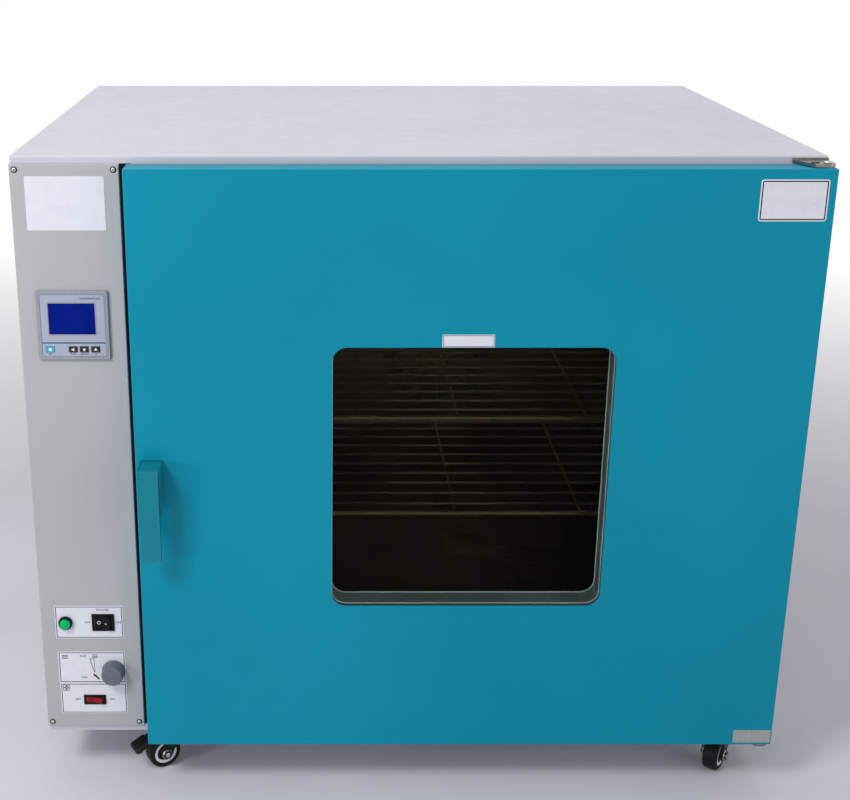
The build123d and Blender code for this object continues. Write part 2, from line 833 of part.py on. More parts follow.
inner_w = door_w - 2 * door_skin_t
inner_h = door_h - 2 * door_skin_t
with BuildPart() as door_inner_panel:
    with BuildSketch(front_plane(y_door_back)):
        with Locations((door_x, door_z)):
            Rectangle(inner_w, inner_h)
    extrude(amount=door_skin_t)
    with BuildSketch(front_plane(y_door_back)):
        with Locations((cavity_x, cavity_z)):
            RectangleRounded(plug_w, plug_height, plug_gap)
    extrude(amount=-plug_h)
    fillet(door_inner_panel.faces().sort_by(Axis.Y)[-1].edges(), bend_r)
    with BuildSketch(front_plane(y_panel_front)):
        with Locations((cavity_x, cavity_z)):
            Rectangle(plug_w - 2 * plug_gap, plug_height - 2 * plug_gap)
    extrude(amount=-(y_plug_skin - y_panel_front), mode=Mode.SUBTRACT)
    with BuildSketch(front_plane(y_plug_skin)):
        with Locations((window_x, window_z)):
            RectangleRounded(window_w, window_h, window_corner_r)
    extrude(amount=-door_skin_t, mode=Mode.SUBTRACT)
    with BuildSketch(front_plane(y_panel_front)):
        with Locations((slot_x, slot_z)):
            Rectangle(claw_slot_w, claw_slot_h)
    extrude(amount=-door_skin_t, mode=Mode.SUBTRACT)
finish(door_inner_panel, "door_inner_panel")

with BuildPart() as door_insulation:
    with BuildSketch(front_plane(y_skin_back)):
        with Locations((door_x, door_z)):
            Rectangle(inner_w, inner_h)
    extrude(amount=-(y_panel_front - y_skin_back))
    with BuildSketch(front_plane(y_panel_front)):
        with Locations((cavity_x, cavity_z)):
            Rectangle(plug_w - 2 * plug_gap, plug_height - 2 * plug_gap)
    extrude(amount=-(y_plug_skin - y_panel_front))
    with BuildSketch(front_plane(y_skin_back)):
        with Locations((window_x, window_z)):
            Rectangle(seat_w, seat_h)
        with Locations((slot_x, slot_z)):
            Rectangle(claw_slot_w, claw_slot_h)
    extrude(amount=-(y_plug_skin - y_skin_back), mode=Mode.SUBTRACT)
    for block_z in hinge_blocks:
        with Locations((hinge_block_x, hinge_block_y, block_z)):
            Box(hinge_block_w, hinge_block_d, hinge_block_h, mode=Mode.SUBTRACT)
finish(door_insulation, "door_insulation")

with BuildPart() as door_outer_glass:
    with BuildSketch(front_plane(y_skin_back)):
        with Locations((window_x, window_z)):
            Rectangle(seat_w, seat_h)
    extrude(amount=-glass_t)
finish(door_outer_glass, "door_outer_glass")

with BuildPart() as door_inner_glass:
    with BuildSketch(front_plane(y_plug_skin)):
        with Locations((window_x, window_z)):
            Rectangle(seat_w, seat_h)
    extrude(amount=glass_t)
finish(door_inner_glass, "door_inner_glass")

y_frame_front = y_skin_back + glass_t
y_frame_back = y_plug_skin - glass_t
with BuildPart() as door_window_frame:
    with BuildSketch(front_plane(y_frame_front)):
        with Locations((window_x, window_z)):
            RectangleRounded(
                window_w + 2 * window_frame_t,
                window_h + 2 * window_frame_t,
                window_corner_r + window_frame_t,
            )
            RectangleRounded(window_w, window_h, window_corner_r, mode=Mode.SUBTRACT)
    extrude(amount=-(y_frame_back - y_frame_front))
    for y_flange in (y_frame_front, y_frame_back - window_frame_t):
        with BuildSketch(front_plane(y_flange)):
            with Locations((window_x, window_z)):
                Rectangle(seat_w, seat_h)
                RectangleRounded(window_w, window_h, window_corner_r, mode=Mode.SUBTRACT)
        extrude(amount=-window_frame_t)
finish(door_window_frame, "door_window_frame")

seal_h = y_frame - y_door_back - seal_clearance
with BuildPart() as door_seal:
    with BuildSketch(front_plane(y_door_back)):
        with Locations((cavity_x, cavity_z)):
            RectangleRounded(
                cavity_w + 2 * (seal_lap + seal_w),
                cavity_h + 2 * (seal_lap + seal_w),
                seal_w,
            )
            RectangleRounded(cavity_w + 2 * seal_lap, cavity_h + 2 * seal_lap, seal_lap, mode=Mode.SUBTRACT)
    extrude(amount=-seal_h)
    chamfer(door_seal.faces().sort_by(Axis.Y)[-1].edges(), seal_h / 4)
finish(door_seal, "door_seal")

# Hinges: a flat plate above and below the door, each with a fixed pin that
# turns in a flanged bush in the door's corner
z_upper_plate = door_z1 + bush_flange_t + hinge_clearance
z_lower_plate = z_bottom
hinge_leg_h = z_top - z_upper_plate - hinge_plate_t - bend_r
hinge_leg_z = z_upper_plate + hinge_plate_t + hinge_leg_h / 2
plate_end_r = hinge_axis_inset
with BuildPart() as hinge_plates:
    with BuildSketch(Plane.XY.offset(z_upper_plate)):
        with BuildLine():
            Polyline(
                (hinge_x + plate_end_r, y_frame),
                (hinge_x - hinge_plate_l, y_frame),
                (hinge_x - hinge_plate_l / 2, hinge_y - plate_end_r),
                (hinge_x, hinge_y - plate_end_r),
            )
            RadiusArc(
                (hinge_x, hinge_y - plate_end_r),
                (hinge_x + plate_end_r, hinge_y),
                -plate_end_r,
            )
            Line((hinge_x + plate_end_r, hinge_y), (hinge_x + plate_end_r, y_frame))
        make_face()
    extrude(amount=hinge_plate_t)
    with BuildSketch(front_plane(y_frame)):
        with Locations((hinge_x + (plate_end_r - hinge_plate_l) / 2, hinge_leg_z)):
            Rectangle(hinge_plate_l + plate_end_r, hinge_leg_h)
    extrude(amount=hinge_plate_t / 2)
    with BuildSketch(Plane.XY.offset(z_upper_plate - hinge_pin_l)):
        with Locations((hinge_x, hinge_y)):
            Circle(hinge_pin_r)
    extrude(amount=hinge_pin_l + hinge_plate_t + hinge_pin_r / 4)
    with BuildSketch(Plane.XY.offset(z_lower_plate - hinge_plate_t)):
        with BuildLine():
            Polyline(
                (hinge_x + plate_end_r, y_frame + hinge_plate_back),
                (hinge_x - hinge_plate_l, y_frame + hinge_plate_back),
                (hinge_x - hinge_plate_l, y_frame),
                (hinge_x - plate_end_r, hinge_y - plate_end_r),
                (hinge_x, hinge_y - plate_end_r),
            )
            RadiusArc(
                (hinge_x, hinge_y - plate_end_r),
                (hinge_x + plate_end_r, hinge_y),
                -plate_end_r,
            )
            Line((hinge_x + plate_end_r, hinge_y), (hinge_x + plate_end_r, y_frame + hinge_plate_back))
        make_face()
    extrude(amount=hinge_plate_t)
    collar_h = door_z0 - z_lower_plate - bush_flange_t - hinge_clearance
    with BuildSketch(Plane.XY.offset(z_lower_plate)):
        with Locations((hinge_x, hinge_y)):
            Circle(bush_r_out)
    extrude(amount=collar_h)
    with BuildSketch(Plane.XY.offset(z_lower_plate)):
        with Locations((hinge_x, hinge_y)):
            Circle(hinge_pin_r)
    extrude(amount=door_z0 - z_lower_plate + hinge_pin_l - bush_flange_t)
finish(hinge_plates, "hinge_plates")

with BuildPart() as door_bushes:
    for end_z, outward in ((door_z1, 1), (door_z0, -1)):
        with BuildSketch(Plane.XY.offset(end_z)):
            with Locations((hinge_x, hinge_y)):
                Circle(bush_r_out)
        extrude(amount=-outward * hinge_pin_l)
        with BuildSketch(Plane.XY.offset(end_z)):
            with Locations((hinge_x, hinge_y)):
                Circle(bush_r_out + bush_flange_w)
        extrude(amount=outward * bush_flange_t)
        with BuildSketch(Plane.XY.offset(end_z + outward * bush_flange_t)):
            with Locations((hinge_x, hinge_y)):
                Circle(hinge_pin_r + running_clearance)
        extrude(amount=-outward * (hinge_pin_l + bush_flange_t), mode=Mode.SUBTRACT)
finish(door_bushes, "door_bushes")

# Handle: a base of two cheeks on a back plate, a lever on a cross pin, and a
# steel claw that reaches through the door under the striker's bar
base_bottom_z = handle_top_z - handle_base_h
cheek_profile = (
    (y_door, handle_top_z),
    (y_door - handle_base_reach, handle_top_z),
    (y_door - handle_base_reach, base_bottom_z),
    (y_door, base_bottom_z + handle_base_rise),
)
with BuildPart() as handle_base:
    with BuildSketch(front_plane(y_door)):
        with Locations((handle_mid_x, handle_top_z - (handle_base_h - handle_base_rise) / 2)):
            Rectangle(handle_w, handle_base_h - handle_base_rise)
        with Locations((slot_x, slot_z)):
            Rectangle(claw_slot_w, claw_slot_h, mode=Mode.SUBTRACT)
    extrude(amount=handle_cheek_t)
    for cheek_x in (handle_mid_x - handle_w / 2, handle_mid_x + handle_w / 2 - handle_cheek_t):
        with BuildSketch(side_plane(cheek_x)):
            with BuildLine():
                Polyline(*cheek_profile, close=True)
            make_face()
            with Locations((pivot_y, pivot_z)):
                Circle(pivot_r, mode=Mode.SUBTRACT)
        extrude(amount=handle_cheek_t)
finish(handle_base, "handle_base")

with BuildPart() as handle_pin:
    with BuildSketch(side_plane(handle_mid_x - handle_w / 2)):
        with Locations((pivot_y, pivot_z)):
            Circle(pivot_r)
    extrude(amount=handle_w)
finish(handle_pin, "handle_pin")

lever_w = handle_w - 2 * (handle_cheek_t + handle_side_clearance)
lever_top_z = handle_top_z - handle_side_clearance
lever_bottom_z = lever_top_z - lever_l
lever_back_y = y_handle + lever_t
with BuildPart() as handle_lever:
    with BuildSketch(side_plane(handle_mid_x - lever_w / 2)):
        with BuildLine():
            Polyline(
                (y_handle, lever_top_z),
                (y_handle, lever_top_z - lever_l / 2),
                (y_handle + lever_taper, lever_bottom_z),
                (lever_back_y + lever_taper, lever_bottom_z),
                (lever_back_y, lever_top_z - 2 * lever_root_h),
                (pivot_y - lever_root_h / 2, lever_top_z - lever_root_h),
                (pivot_y + lever_root_h / 4, lever_top_z - lever_root_h),
                (y_door - lever_rear_gap, pivot_z),
                (y_door - lever_rear_gap, lever_top_z),
                close=True,
            )
        make_face()
    extrude(amount=lever_w)
    fillet(handle_lever.faces().sort_by(Axis.Z)[0].edges().filter_by(Axis.X), lever_corner_r)
    fillet(handle_lever.edges().filter_by(Axis.X).sort_by(Axis.Y)[0:2], lever_corner_r / 2)
    with BuildSketch(side_plane(handle_mid_x - lever_w / 2)):
        with Locations((pivot_y, pivot_z)):
            Circle(pivot_r + running_clearance)
    extrude(amount=lever_w, mode=Mode.SUBTRACT)
    with BuildSketch(side_plane(handle_mid_x - claw_t / 2)):
        with Locations((y_door - lever_rear_gap, pivot_z)):
            Rectangle(claw_arm_h, lever_root_h)
    extrude(amount=claw_t, mode=Mode.SUBTRACT)
finish(handle_lever, "handle_lever")

striker_y = y_frame - striker_reach + striker_bar_r
striker_z = pivot_z + striker_bar_r / 2
claw_top_z = striker_z - striker_bar_r - striker_clearance
claw_root_y = y_door - lever_rear_gap - claw_arm_h / 2
claw_end_y = pivot_y + claw_l
claw_arm_top = claw_top_z - striker_bar_r
with BuildPart() as latch_claw:
    with BuildSketch(side_plane(handle_mid_x - claw_t / 2)):
        with BuildLine():
            Polyline(
                (claw_root_y, claw_arm_top),
                (striker_y + striker_bar_r + striker_clearance, claw_arm_top),
                (striker_y + striker_bar_r + striker_clearance, claw_top_z),
                (claw_end_y, claw_arm_top),
                (claw_end_y - claw_arm_h / 2, claw_arm_top - claw_arm_h),
                (claw_root_y, claw_arm_top - claw_arm_h),
                close=True,
            )
        make_face()
    extrude(amount=claw_t)
finish(latch_claw, "latch_claw")

with BuildPart() as door_striker:
    with BuildSketch(front_plane(y_frame)):
        with Locations((handle_mid_x, striker_z)):
            Rectangle(striker_w, striker_foot_h / 2)
    extrude(amount=striker_arm_t)
    for arm_x in (handle_mid_x - striker_w / 2, handle_mid_x + striker_w / 2 - striker_arm_t):
        with BuildSketch(side_plane(arm_x)):
            with Locations((y_frame - striker_reach / 2, striker_z)):
                Rectangle(striker_reach, 3 * striker_bar_r)
        extrude(amount=striker_arm_t)
    with BuildSketch(side_plane(handle_mid_x - striker_w / 2)):
        with Locations((striker_y, striker_z)):
            Circle(striker_bar_r)
    extrude(amount=striker_w)
finish(door_striker, "door_striker")

# Shelf rails: a ribbed stainless sheet on each side wall
rail_y0 = y_inside + rail_front_gap
rail_y1 = y_cavity_back - baffle_d - baffle_side_gap
rail_ribs = int((cavity_h - rail_first - rail_top_gap) / rail_pitch)
rail_z0 = cavity_z0 + rail_first - rail_pitch
rail_z1 = rail_z0 + rail_pitch * (rail_ribs + 1)


def rail_outline(wall_x, inward, depth):
    """Points of a ribbed sheet at a depth under its chamber face, bottom up."""
    face_x = wall_x + inward * (rail_panel_gap - depth)
    tip_x = face_x + inward * rail_rib_reach
    points = [(face_x, rail_z0)]
    for rib in range(rail_ribs):
        rib_z = rail_z0 + rail_pitch * (rib + 1)
        points += [
            (face_x, rib_z - rail_rib_h + depth),
            (tip_x, rib_z - (rail_rib_h - depth) / 2),
            (tip_x, rib_z - depth),
            (face_x, rib_z - depth),
        ]
    return points + [(face_x, rail_z1)]


with BuildPart() as shelf_rails:
    for wall_x, inward in ((cavity_x0, 1), (cavity_x1, -1)):
        with BuildSketch(front_plane(rail_y0)):
            with BuildLine():
                Polyline(
                    *rail_outline(wall_x, inward, 0),
                    *reversed(rail_outline(wall_x, inward, rail_t)),
                    close=True,
                )
            make_face()
        extrude(amount=-(rail_y1 - rail_y0))
        foot_w = rail_panel_gap - rail_t
        for foot_z in (rail_z0, rail_z1 - 2 * rail_t):
            for foot_y in (rail_y0, rail_y1 - rail_front_gap):
                with BuildSketch(Plane.XY.offset(foot_z)):
                    with Locations((wall_x + inward * foot_w / 2, foot_y + rail_front_gap / 2)):
                        Rectangle(foot_w, rail_front_gap)
                extrude(amount=rail_t)
finish(shelf_rails, "shelf_rails")

# Wire shelves that rest on the ribs
shelf_w = cavity_w - 2 * (rail_panel_gap + shelf_side_gap)
shelf_y0 = y_plug + shelf_front_gap
shelf_d = y_cavity_back - baffle_d - shelf_back_gap - shelf_y0
wire_pitch = shelf_d / (shelf_wires + 1)
wire_turn = 180 / wire_sides
rim_x0 = cavity_x - shelf_w / 2 + shelf_rim_r
rim_x1 = cavity_x + shelf_w / 2 - shelf_rim_r
rim_y0 = shelf_y0 + shelf_rim_r
rim_y1 = shelf_y0 + shelf_d - shelf_rim_r
for shelf_name, level in shelf_levels.items():
    shelf_z = rail_z0 + rail_pitch * level + shelf_rim_r + shelf_seat_gap
    with BuildPart() as shelf:
        with BuildLine(Plane.XY.offset(shelf_z)) as rim_line:
            FilletPolyline(
                (rim_x0, rim_y0),
                (rim_x1, rim_y0),
                (rim_x1, rim_y1),
                (rim_x0, rim_y1),
                radius=shelf_corner_r,
                close=True,
            )
        with BuildSketch(Plane(rim_line.line @ 0, z_dir=rim_line.line % 0)):
            RegularPolygon(shelf_rim_r, wire_sides, major_radius=False, rotation=wire_turn)
        sweep(path=rim_line.line)
        with BuildSketch(side_plane(rim_x0)):
            for wire in range(shelf_wires):
                with Locations((shelf_y0 + wire_pitch * (wire + 1), shelf_z)):
                    RegularPolygon(shelf_wire_r, wire_sides, major_radius=False, rotation=wire_turn)
        extrude(amount=rim_x1 - rim_x0)
        with BuildSketch(front_plane(rim_y0)):
            with Locations((cavity_x, shelf_z - shelf_wire_r * 1.5)):
                with GridLocations(shelf_w / (shelf_cross_wires + 1), 1, shelf_cross_wires, 1):
                    RegularPolygon(shelf_wire_r, wire_sides, major_radius=False, rotation=wire_turn)
        extrude(amount=-(rim_y1 - rim_y0))
    finish(shelf, shelf_name)

# Rear air baffle with the fan's intake and the outlets at both sides
y_baffle = y_cavity_back - baffle_d
baffle_w = cavity_w - 2 * slab_gap
baffle_h = cavity_h - 2 * slab_gap
with BuildPart() as air_baffle:
    with BuildSketch(front_plane(y_baffle)):
        with Locations((cavity_x, cavity_z)):
            Rectangle(baffle_w, baffle_h)
            with PolarLocations(intake_r - intake_slot_l / 2, intake_slots):
                Rectangle(intake_slot_l, intake_slot_w, mode=Mode.SUBTRACT)
            with GridLocations(cavity_w - 2 * outlet_inset, cavity_h / (outlet_rows + 1), 2, outlet_rows):
                Rectangle(outlet_slot_w, outlet_slot_l, mode=Mode.SUBTRACT)
    extrude(amount=-baffle_t)
finish(air_baffle, "air_baffle")

# Fan wheel on the motor's shaft
y_fan_plate = y_cavity_back - fan_wall_gap
blade_mid_r = (fan_r + fan_blade_inner_r) / 2
blade_l = (fan_r - fan_blade_inner_r) / cos(radians(fan_blade_angle)) - 2 * fan_blade_t
y_motor = y_rear_wall + sheet_t
with BuildPart() as fan_impeller:
    with BuildSketch(front_plane(y_fan_plate)):
        with Locations((fan_x, fan_z)):
            Circle(fan_r)
    extrude(amount=fan_plate_t)
    with BuildSketch(front_plane(y_fan_plate)):
        with Locations((fan_x, fan_z)):
            Circle(fan_hub_r)
            with PolarLocations(blade_mid_r, fan_blades):
                Rectangle(blade_l, fan_blade_t, rotation=fan_blade_angle)
    extrude(amount=fan_blade_w)
    with BuildSketch(front_plane(y_fan_plate)):
        with Locations((fan_x, fan_z)):
            Circle(shaft_r)
    extrude(amount=-(y_motor + shaft_grip - y_fan_plate))
finish(fan_impeller, "fan_impeller")

with BuildPart() as fan_motor:
    with BuildSketch(front_plane(y_motor)):
        with Locations((fan_x, fan_z)):
            Circle(motor_r)
            with PolarLocations(motor_r + motor_fin_h / 2, motor_fins):
                Rectangle(2 * motor_fin_h, motor_fin_t)
    extrude(amount=-(motor_l - motor_edge_r))
    with BuildSketch(front_plane(y_motor + motor_l - motor_edge_r)):
        with Locations((fan_x, fan_z)):
            Circle(motor_r)
    extrude(amount=-motor_edge_r)
    fillet(fan_motor.faces().sort_by(Axis.Y)[-1].edges(), motor_edge_r * 0.8)
    with BuildSketch(front_plane(y_motor)):
        with Locations((fan_x, fan_z)):
            Circle(motor_flange_r)
    extrude(amount=-motor_flange_t)
    with BuildSketch(front_plane(y_motor)):
        with Locations((fan_x, fan_z)):
            Circle(shaft_r + running_clearance)
    extrude(amount=-(shaft_grip + motor_edge_r), mode=Mode.SUBTRACT)
finish(fan_motor, "fan_motor")

# Tubular heater: a loop around the fan wheel, its two legs sealed in the wall
y_heater = y_cavity_back - fan_wall_gap - heater_gap
loop_half_gap = heater_bend_r
loop_drop = sqrt(heater_loop_r**2 - loop_half_gap**2)
with BuildPart() as heating_element:
    with BuildLine(front_plane(y_heater)) as heater_line:
        CenterArc(
            (fan_x, fan_z),
            heater_loop_r,
            -90 + Vector(loop_drop, loop_half_gap).get_angle(Vector(1, 0)),
            360 - 2 * Vector(loop_drop, loop_half_gap).get_angle(Vector(1, 0)),
        )
    with BuildSketch(Plane(heater_line.line @ 0, z_dir=heater_line.line % 0)):
        Circle(heater_tube_r)
    sweep(path=heater_line.line)
    for leg_x in (fan_x - loop_half_gap, fan_x + loop_half_gap):
        with BuildSketch(front_plane(y_heater - heater_tube_r)):
            with Locations((leg_x, fan_z - loop_drop)):
                Circle(heater_tube_r)
        extrude(amount=-(y_cavity_back - y_heater + heater_tube_r))
finish(heating_element, "heating_element")

# Temperature probe through the left wall, held by its flange in the bay
with BuildPart() as temperature_probe:
    with BuildSketch(side_plane(x_bay_wall)):
        with Locations((y_probe, probe_z)):
            Circle(probe_r)
    extrude(amount=cavity_x0 - x_bay_wall + probe_l)
    fillet(temperature_probe.faces().sort_by(Axis.X)[-1].edges(), probe_r * 0.8)
    with BuildSketch(side_plane(x_bay_wall)):
        with Locations((y_probe, probe_z)):
            Circle(probe_flange_r)
    extrude(amount=-probe_flange_t)
finish(temperature_probe, "temperature_probe")

# Exhaust pipe from the chamber through the back
with BuildPart() as exhaust_spigot:
    with BuildSketch(front_plane(y_liner_back)):
        with Locations((vent_x, vent_z)):
            Circle(vent_r)
    extrude(amount=-(y_back + vent_reach - y_liner_back))
    with BuildSketch(front_plane(y_back)):
        with Locations((vent_x, vent_z)):
            Circle(vent_flange_r)
    extrude(amount=-vent_flange_t)
    with BuildSketch(front_plane(y_liner_back)):
        with Locations((vent_x, vent_z)):
            Circle(vent_r - vent_t)
    extrude(amount=-(y_back + vent_reach - y_liner_back), mode=Mode.SUBTRACT)
finish(exhaust_spigot, "exhaust_spigot")

# Cable inlet in the back of the control bay
with BuildPart() as cable_gland:
    with BuildSketch(front_plane(y_back - gland_l)):
        with Locations((x_left + bay_w / 2, z_bottom + gland_z)):
            Circle(gland_r)
    extrude(amount=-2 * gland_l)
    with BuildSketch(front_plane(y_back)):
        with Locations((x_left + bay_w / 2, z_bottom + gland_z)):
            RegularPolygon(gland_nut_across / 2, 6, major_radius=False)
    extrude(amount=-gland_nut_h)
    with BuildSketch(front_plane(y_back - gland_l)):
        with Locations((x_left + bay_w / 2, z_bottom + gland_z)):
            Circle(gland_hole_r)
    extrude(amount=-2 * gland_l, mode=Mode.SUBTRACT)
finish(cable_gland, "cable_gland")

# Casters: where each stands, which way its wheel trails, and whether it has a
# brake pedal. In a caster's own frame the wheel trails along +x.
caster_x0 = x_bay_wall + caster_bay_inset
caster_x1 = x_right - caster_inset
caster_y0 = y_frame + caster_front_inset
caster_y1 = y_back - caster_inset
casters = {
    "front_left": (caster_x0, caster_y0, 210.0, True),
    "front_right": (caster_x1, caster_y0, 235.0, False),
    "rear_left": (caster_x0, caster_y1, 160.0, False),
    "rear_right": (caster_x1, caster_y1, 200.0, True),
}
z_bowl = caster_h - mount_plate_t - mount_bowl_h
z_crown = z_bowl - swivel_gap - fork_crown_t
z_king_head = z_crown - swivel_gap - king_head_h
leg_inner = wheel_w / 2 + fork_side_gap
pedal_pivot_z = z_crown - pedal_hub_r - 2 * pedal_pivot_drop - swivel_gap


def caster_plane(x, y, heading):
    """Floor plane of a caster: its origin is on the swivel axis."""
    turn = radians(heading)
    return Plane(origin=(x, y, 0), x_dir=(cos(turn), sin(turn), 0), z_dir=(0, 0, 1))


def caster_side(floor, offset_y):
    """Upright plane in a caster's frame: local x is its trail, local y is Z."""
    return Plane(
        origin=floor.from_local_coords((0, offset_y, 0)),
        x_dir=floor.x_dir,
        z_dir=-floor.y_dir,
    )


with BuildPart() as caster_mounts:
    for x, y, heading, braked in casters.values():
        with BuildSketch(Plane.XY.offset(caster_h - mount_plate_t)):
            with Locations((x, y)):
                Rectangle(mount_plate_w, mount_plate_w)
        extrude(amount=mount_plate_t)
        with BuildSketch(Plane.XY.offset(z_bowl)):
            with Locations((x, y)):
                Circle(mount_bowl_r)
        extrude(amount=mount_bowl_h)
        with BuildSketch(Plane.XY.offset(z_king_head)):
            with Locations((x, y)):
                Circle(king_pin_r)
        extrude(amount=z_bowl - z_king_head)
        with BuildSketch(Plane.XY.offset(z_king_head)):
            with Locations((x, y)):
                Circle(king_head_r)
        extrude(amount=king_head_h)
finish(caster_mounts, "caster_mounts")


def caster(corner, x, y, heading, braked):
    """Fork with its axle, wheel, and brake pedal where the caster has one."""
    floor = caster_plane(x, y, heading)
    axle_l = 2 * (leg_inner + fork_t + axle_nut_h)
    with BuildPart() as fork:
        with BuildSketch(floor.offset(z_crown)):
            Circle(fork_crown_r)
        extrude(amount=fork_crown_t)
        for leg_y in (-leg_inner, leg_inner + fork_t):
            with BuildSketch(caster_side(floor, leg_y)):
                with BuildLine():
                    Polyline(
                        (-fork_crown_r * 0.7, z_crown + fork_crown_t),
                        (fork_crown_r * 0.95, z_crown + fork_crown_t),
                        (caster_trail + fork_end_r, wheel_r),
                        (caster_trail - fork_end_r, wheel_r - fork_gap),
                        close=True,
                    )
                make_face()
                with Locations((caster_trail, wheel_r)):
                    Circle(fork_end_r)
            extrude(amount=fork_t)
        with BuildSketch(caster_side(floor, axle_l / 2)):
            with Locations((caster_trail, wheel_r)):
                Circle(axle_r)
        extrude(amount=axle_l)
        for nut_y in (axle_l / 2, -axle_l / 2 + axle_nut_h):
            with BuildSketch(caster_side(floor, nut_y)):
                with Locations((caster_trail, wheel_r)):
                    RegularPolygon(axle_nut_across / 2, 6, major_radius=False)
            extrude(amount=axle_nut_h)
        with BuildSketch(floor.offset(z_crown)):
            Circle(king_pin_r + running_clearance)
        extrude(amount=fork_crown_t, mode=Mode.SUBTRACT)
        if braked:
            with BuildSketch(caster_side(floor, leg_inner)):
                with Locations((pedal_pivot_x, pedal_pivot_z)):
                    Circle(pedal_pin_r)
            extrude(amount=2 * leg_inner)
    finish(fork, f"{corner}_fork")

    with BuildPart() as wheel:
        with BuildSketch(caster_side(floor, wheel_w / 2)):
            with Locations((caster_trail, wheel_r)):
                Circle(wheel_r)
        extrude(amount=wheel_w)
        chamfer(wheel.edges(), wheel_edge_r, wheel_edge_r / 2)
        for recess_y, depth in ((wheel_w / 2, wheel_recess), (-wheel_w / 2, -wheel_recess)):
            with BuildSketch(caster_side(floor, recess_y)):
                with Locations((caster_trail, wheel_r)):
                    Circle(wheel_recess_r)
            extrude(amount=depth, mode=Mode.SUBTRACT)
        with BuildSketch(caster_side(floor, leg_inner - fork_gap)):
            with Locations((caster_trail, wheel_r)):
                Circle(hub_r)
        extrude(amount=2 * (leg_inner - fork_gap))
        with BuildSketch(caster_side(floor, leg_inner)):
            with Locations((caster_trail, wheel_r)):
                Circle(axle_r + running_clearance)
        extrude(amount=2 * leg_inner, mode=Mode.SUBTRACT)
    finish(wheel, f"{corner}_wheel")

    if braked:
        knee_x = pedal_pivot_x + pedal_flat_l
        tip_x = knee_x + pedal_tip_l
        tip_z = pedal_pivot_z + pedal_hub_r / 2 - pedal_tip_drop
        knee_z = pedal_pivot_z + pedal_hub_r / 2
        with BuildPart() as pedal:
            with BuildSketch(caster_side(floor, pedal_w / 2)):
                with BuildLine():
                    Polyline(
                        (pedal_pivot_x, knee_z - pedal_t / 2),
                        (knee_x, knee_z - pedal_t / 2),
                        (tip_x, tip_z - pedal_t / 2),
                        (tip_x, tip_z + pedal_t / 2),
                        (knee_x, knee_z + pedal_t / 2),
                        (pedal_pivot_x, knee_z + pedal_t / 2),
                        close=True,
                    )
                make_face()
                with Locations((pedal_pivot_x, pedal_pivot_z)):
                    Circle(pedal_hub_r)
                with Locations((tip_x, tip_z)):
                    Circle(pedal_pad_r)
                with Locations((pedal_pivot_x, pedal_pivot_z)):
                    Circle(pedal_pin_r + running_clearance, mode=Mode.SUBTRACT)
            extrude(amount=pedal_w)
        finish(pedal, f"{corner}_pedal")


for corner, (x, y, heading, braked) in casters.items():
    caster(corner, x, y, heading, braked)
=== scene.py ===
import json
from math import cos, pi, radians, sin

import bmesh
import bpy
from mathutils import Matrix, Vector


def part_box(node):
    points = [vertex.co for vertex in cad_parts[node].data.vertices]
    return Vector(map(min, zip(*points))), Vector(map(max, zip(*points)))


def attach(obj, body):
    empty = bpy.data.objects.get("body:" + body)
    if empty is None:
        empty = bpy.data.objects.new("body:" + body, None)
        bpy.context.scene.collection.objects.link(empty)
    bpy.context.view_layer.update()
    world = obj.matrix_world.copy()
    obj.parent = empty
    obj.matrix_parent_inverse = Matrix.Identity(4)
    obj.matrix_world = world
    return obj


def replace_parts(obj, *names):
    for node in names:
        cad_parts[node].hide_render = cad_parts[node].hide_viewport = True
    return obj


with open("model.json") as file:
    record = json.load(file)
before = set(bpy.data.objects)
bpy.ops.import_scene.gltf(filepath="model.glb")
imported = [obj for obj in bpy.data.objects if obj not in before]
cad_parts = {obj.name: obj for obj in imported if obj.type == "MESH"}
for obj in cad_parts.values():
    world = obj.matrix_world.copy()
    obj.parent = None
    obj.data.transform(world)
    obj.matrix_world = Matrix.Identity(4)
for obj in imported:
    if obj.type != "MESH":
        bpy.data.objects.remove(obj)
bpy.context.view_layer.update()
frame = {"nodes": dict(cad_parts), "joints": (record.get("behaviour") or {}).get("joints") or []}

# Forced-air drying oven: teal door and grey control panel on a pale cabinet.
# Metres, +Z up, the front faces -Y, the floor is at z = 0.

node = frame["nodes"]

# Places on the control panel are measured from its lower left corner
panel_low, panel_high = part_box("control_panel")
door_low, door_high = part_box("door_outer_shell")
panel_face = panel_low.y
door_face = door_low.y
film = 0.0004
ink = 0.00012

# Camera, solved from the photograph's corners
camera_at = (-0.12674, -2.08077, 1.22837)
camera_tilt = 71.83
camera_lens = 57.38
camera_shift = (0.12332, -0.0509)


def paint(red, green, blue):
    """A colour as it looks on the sheet, 0 to 255, for a shader's socket."""
    shares = [value / 255 for value in (red, green, blue)]
    return tuple(s / 12.92 if s <= 0.04045 else ((s + 0.055) / 1.055) ** 2.4 for s in shares)


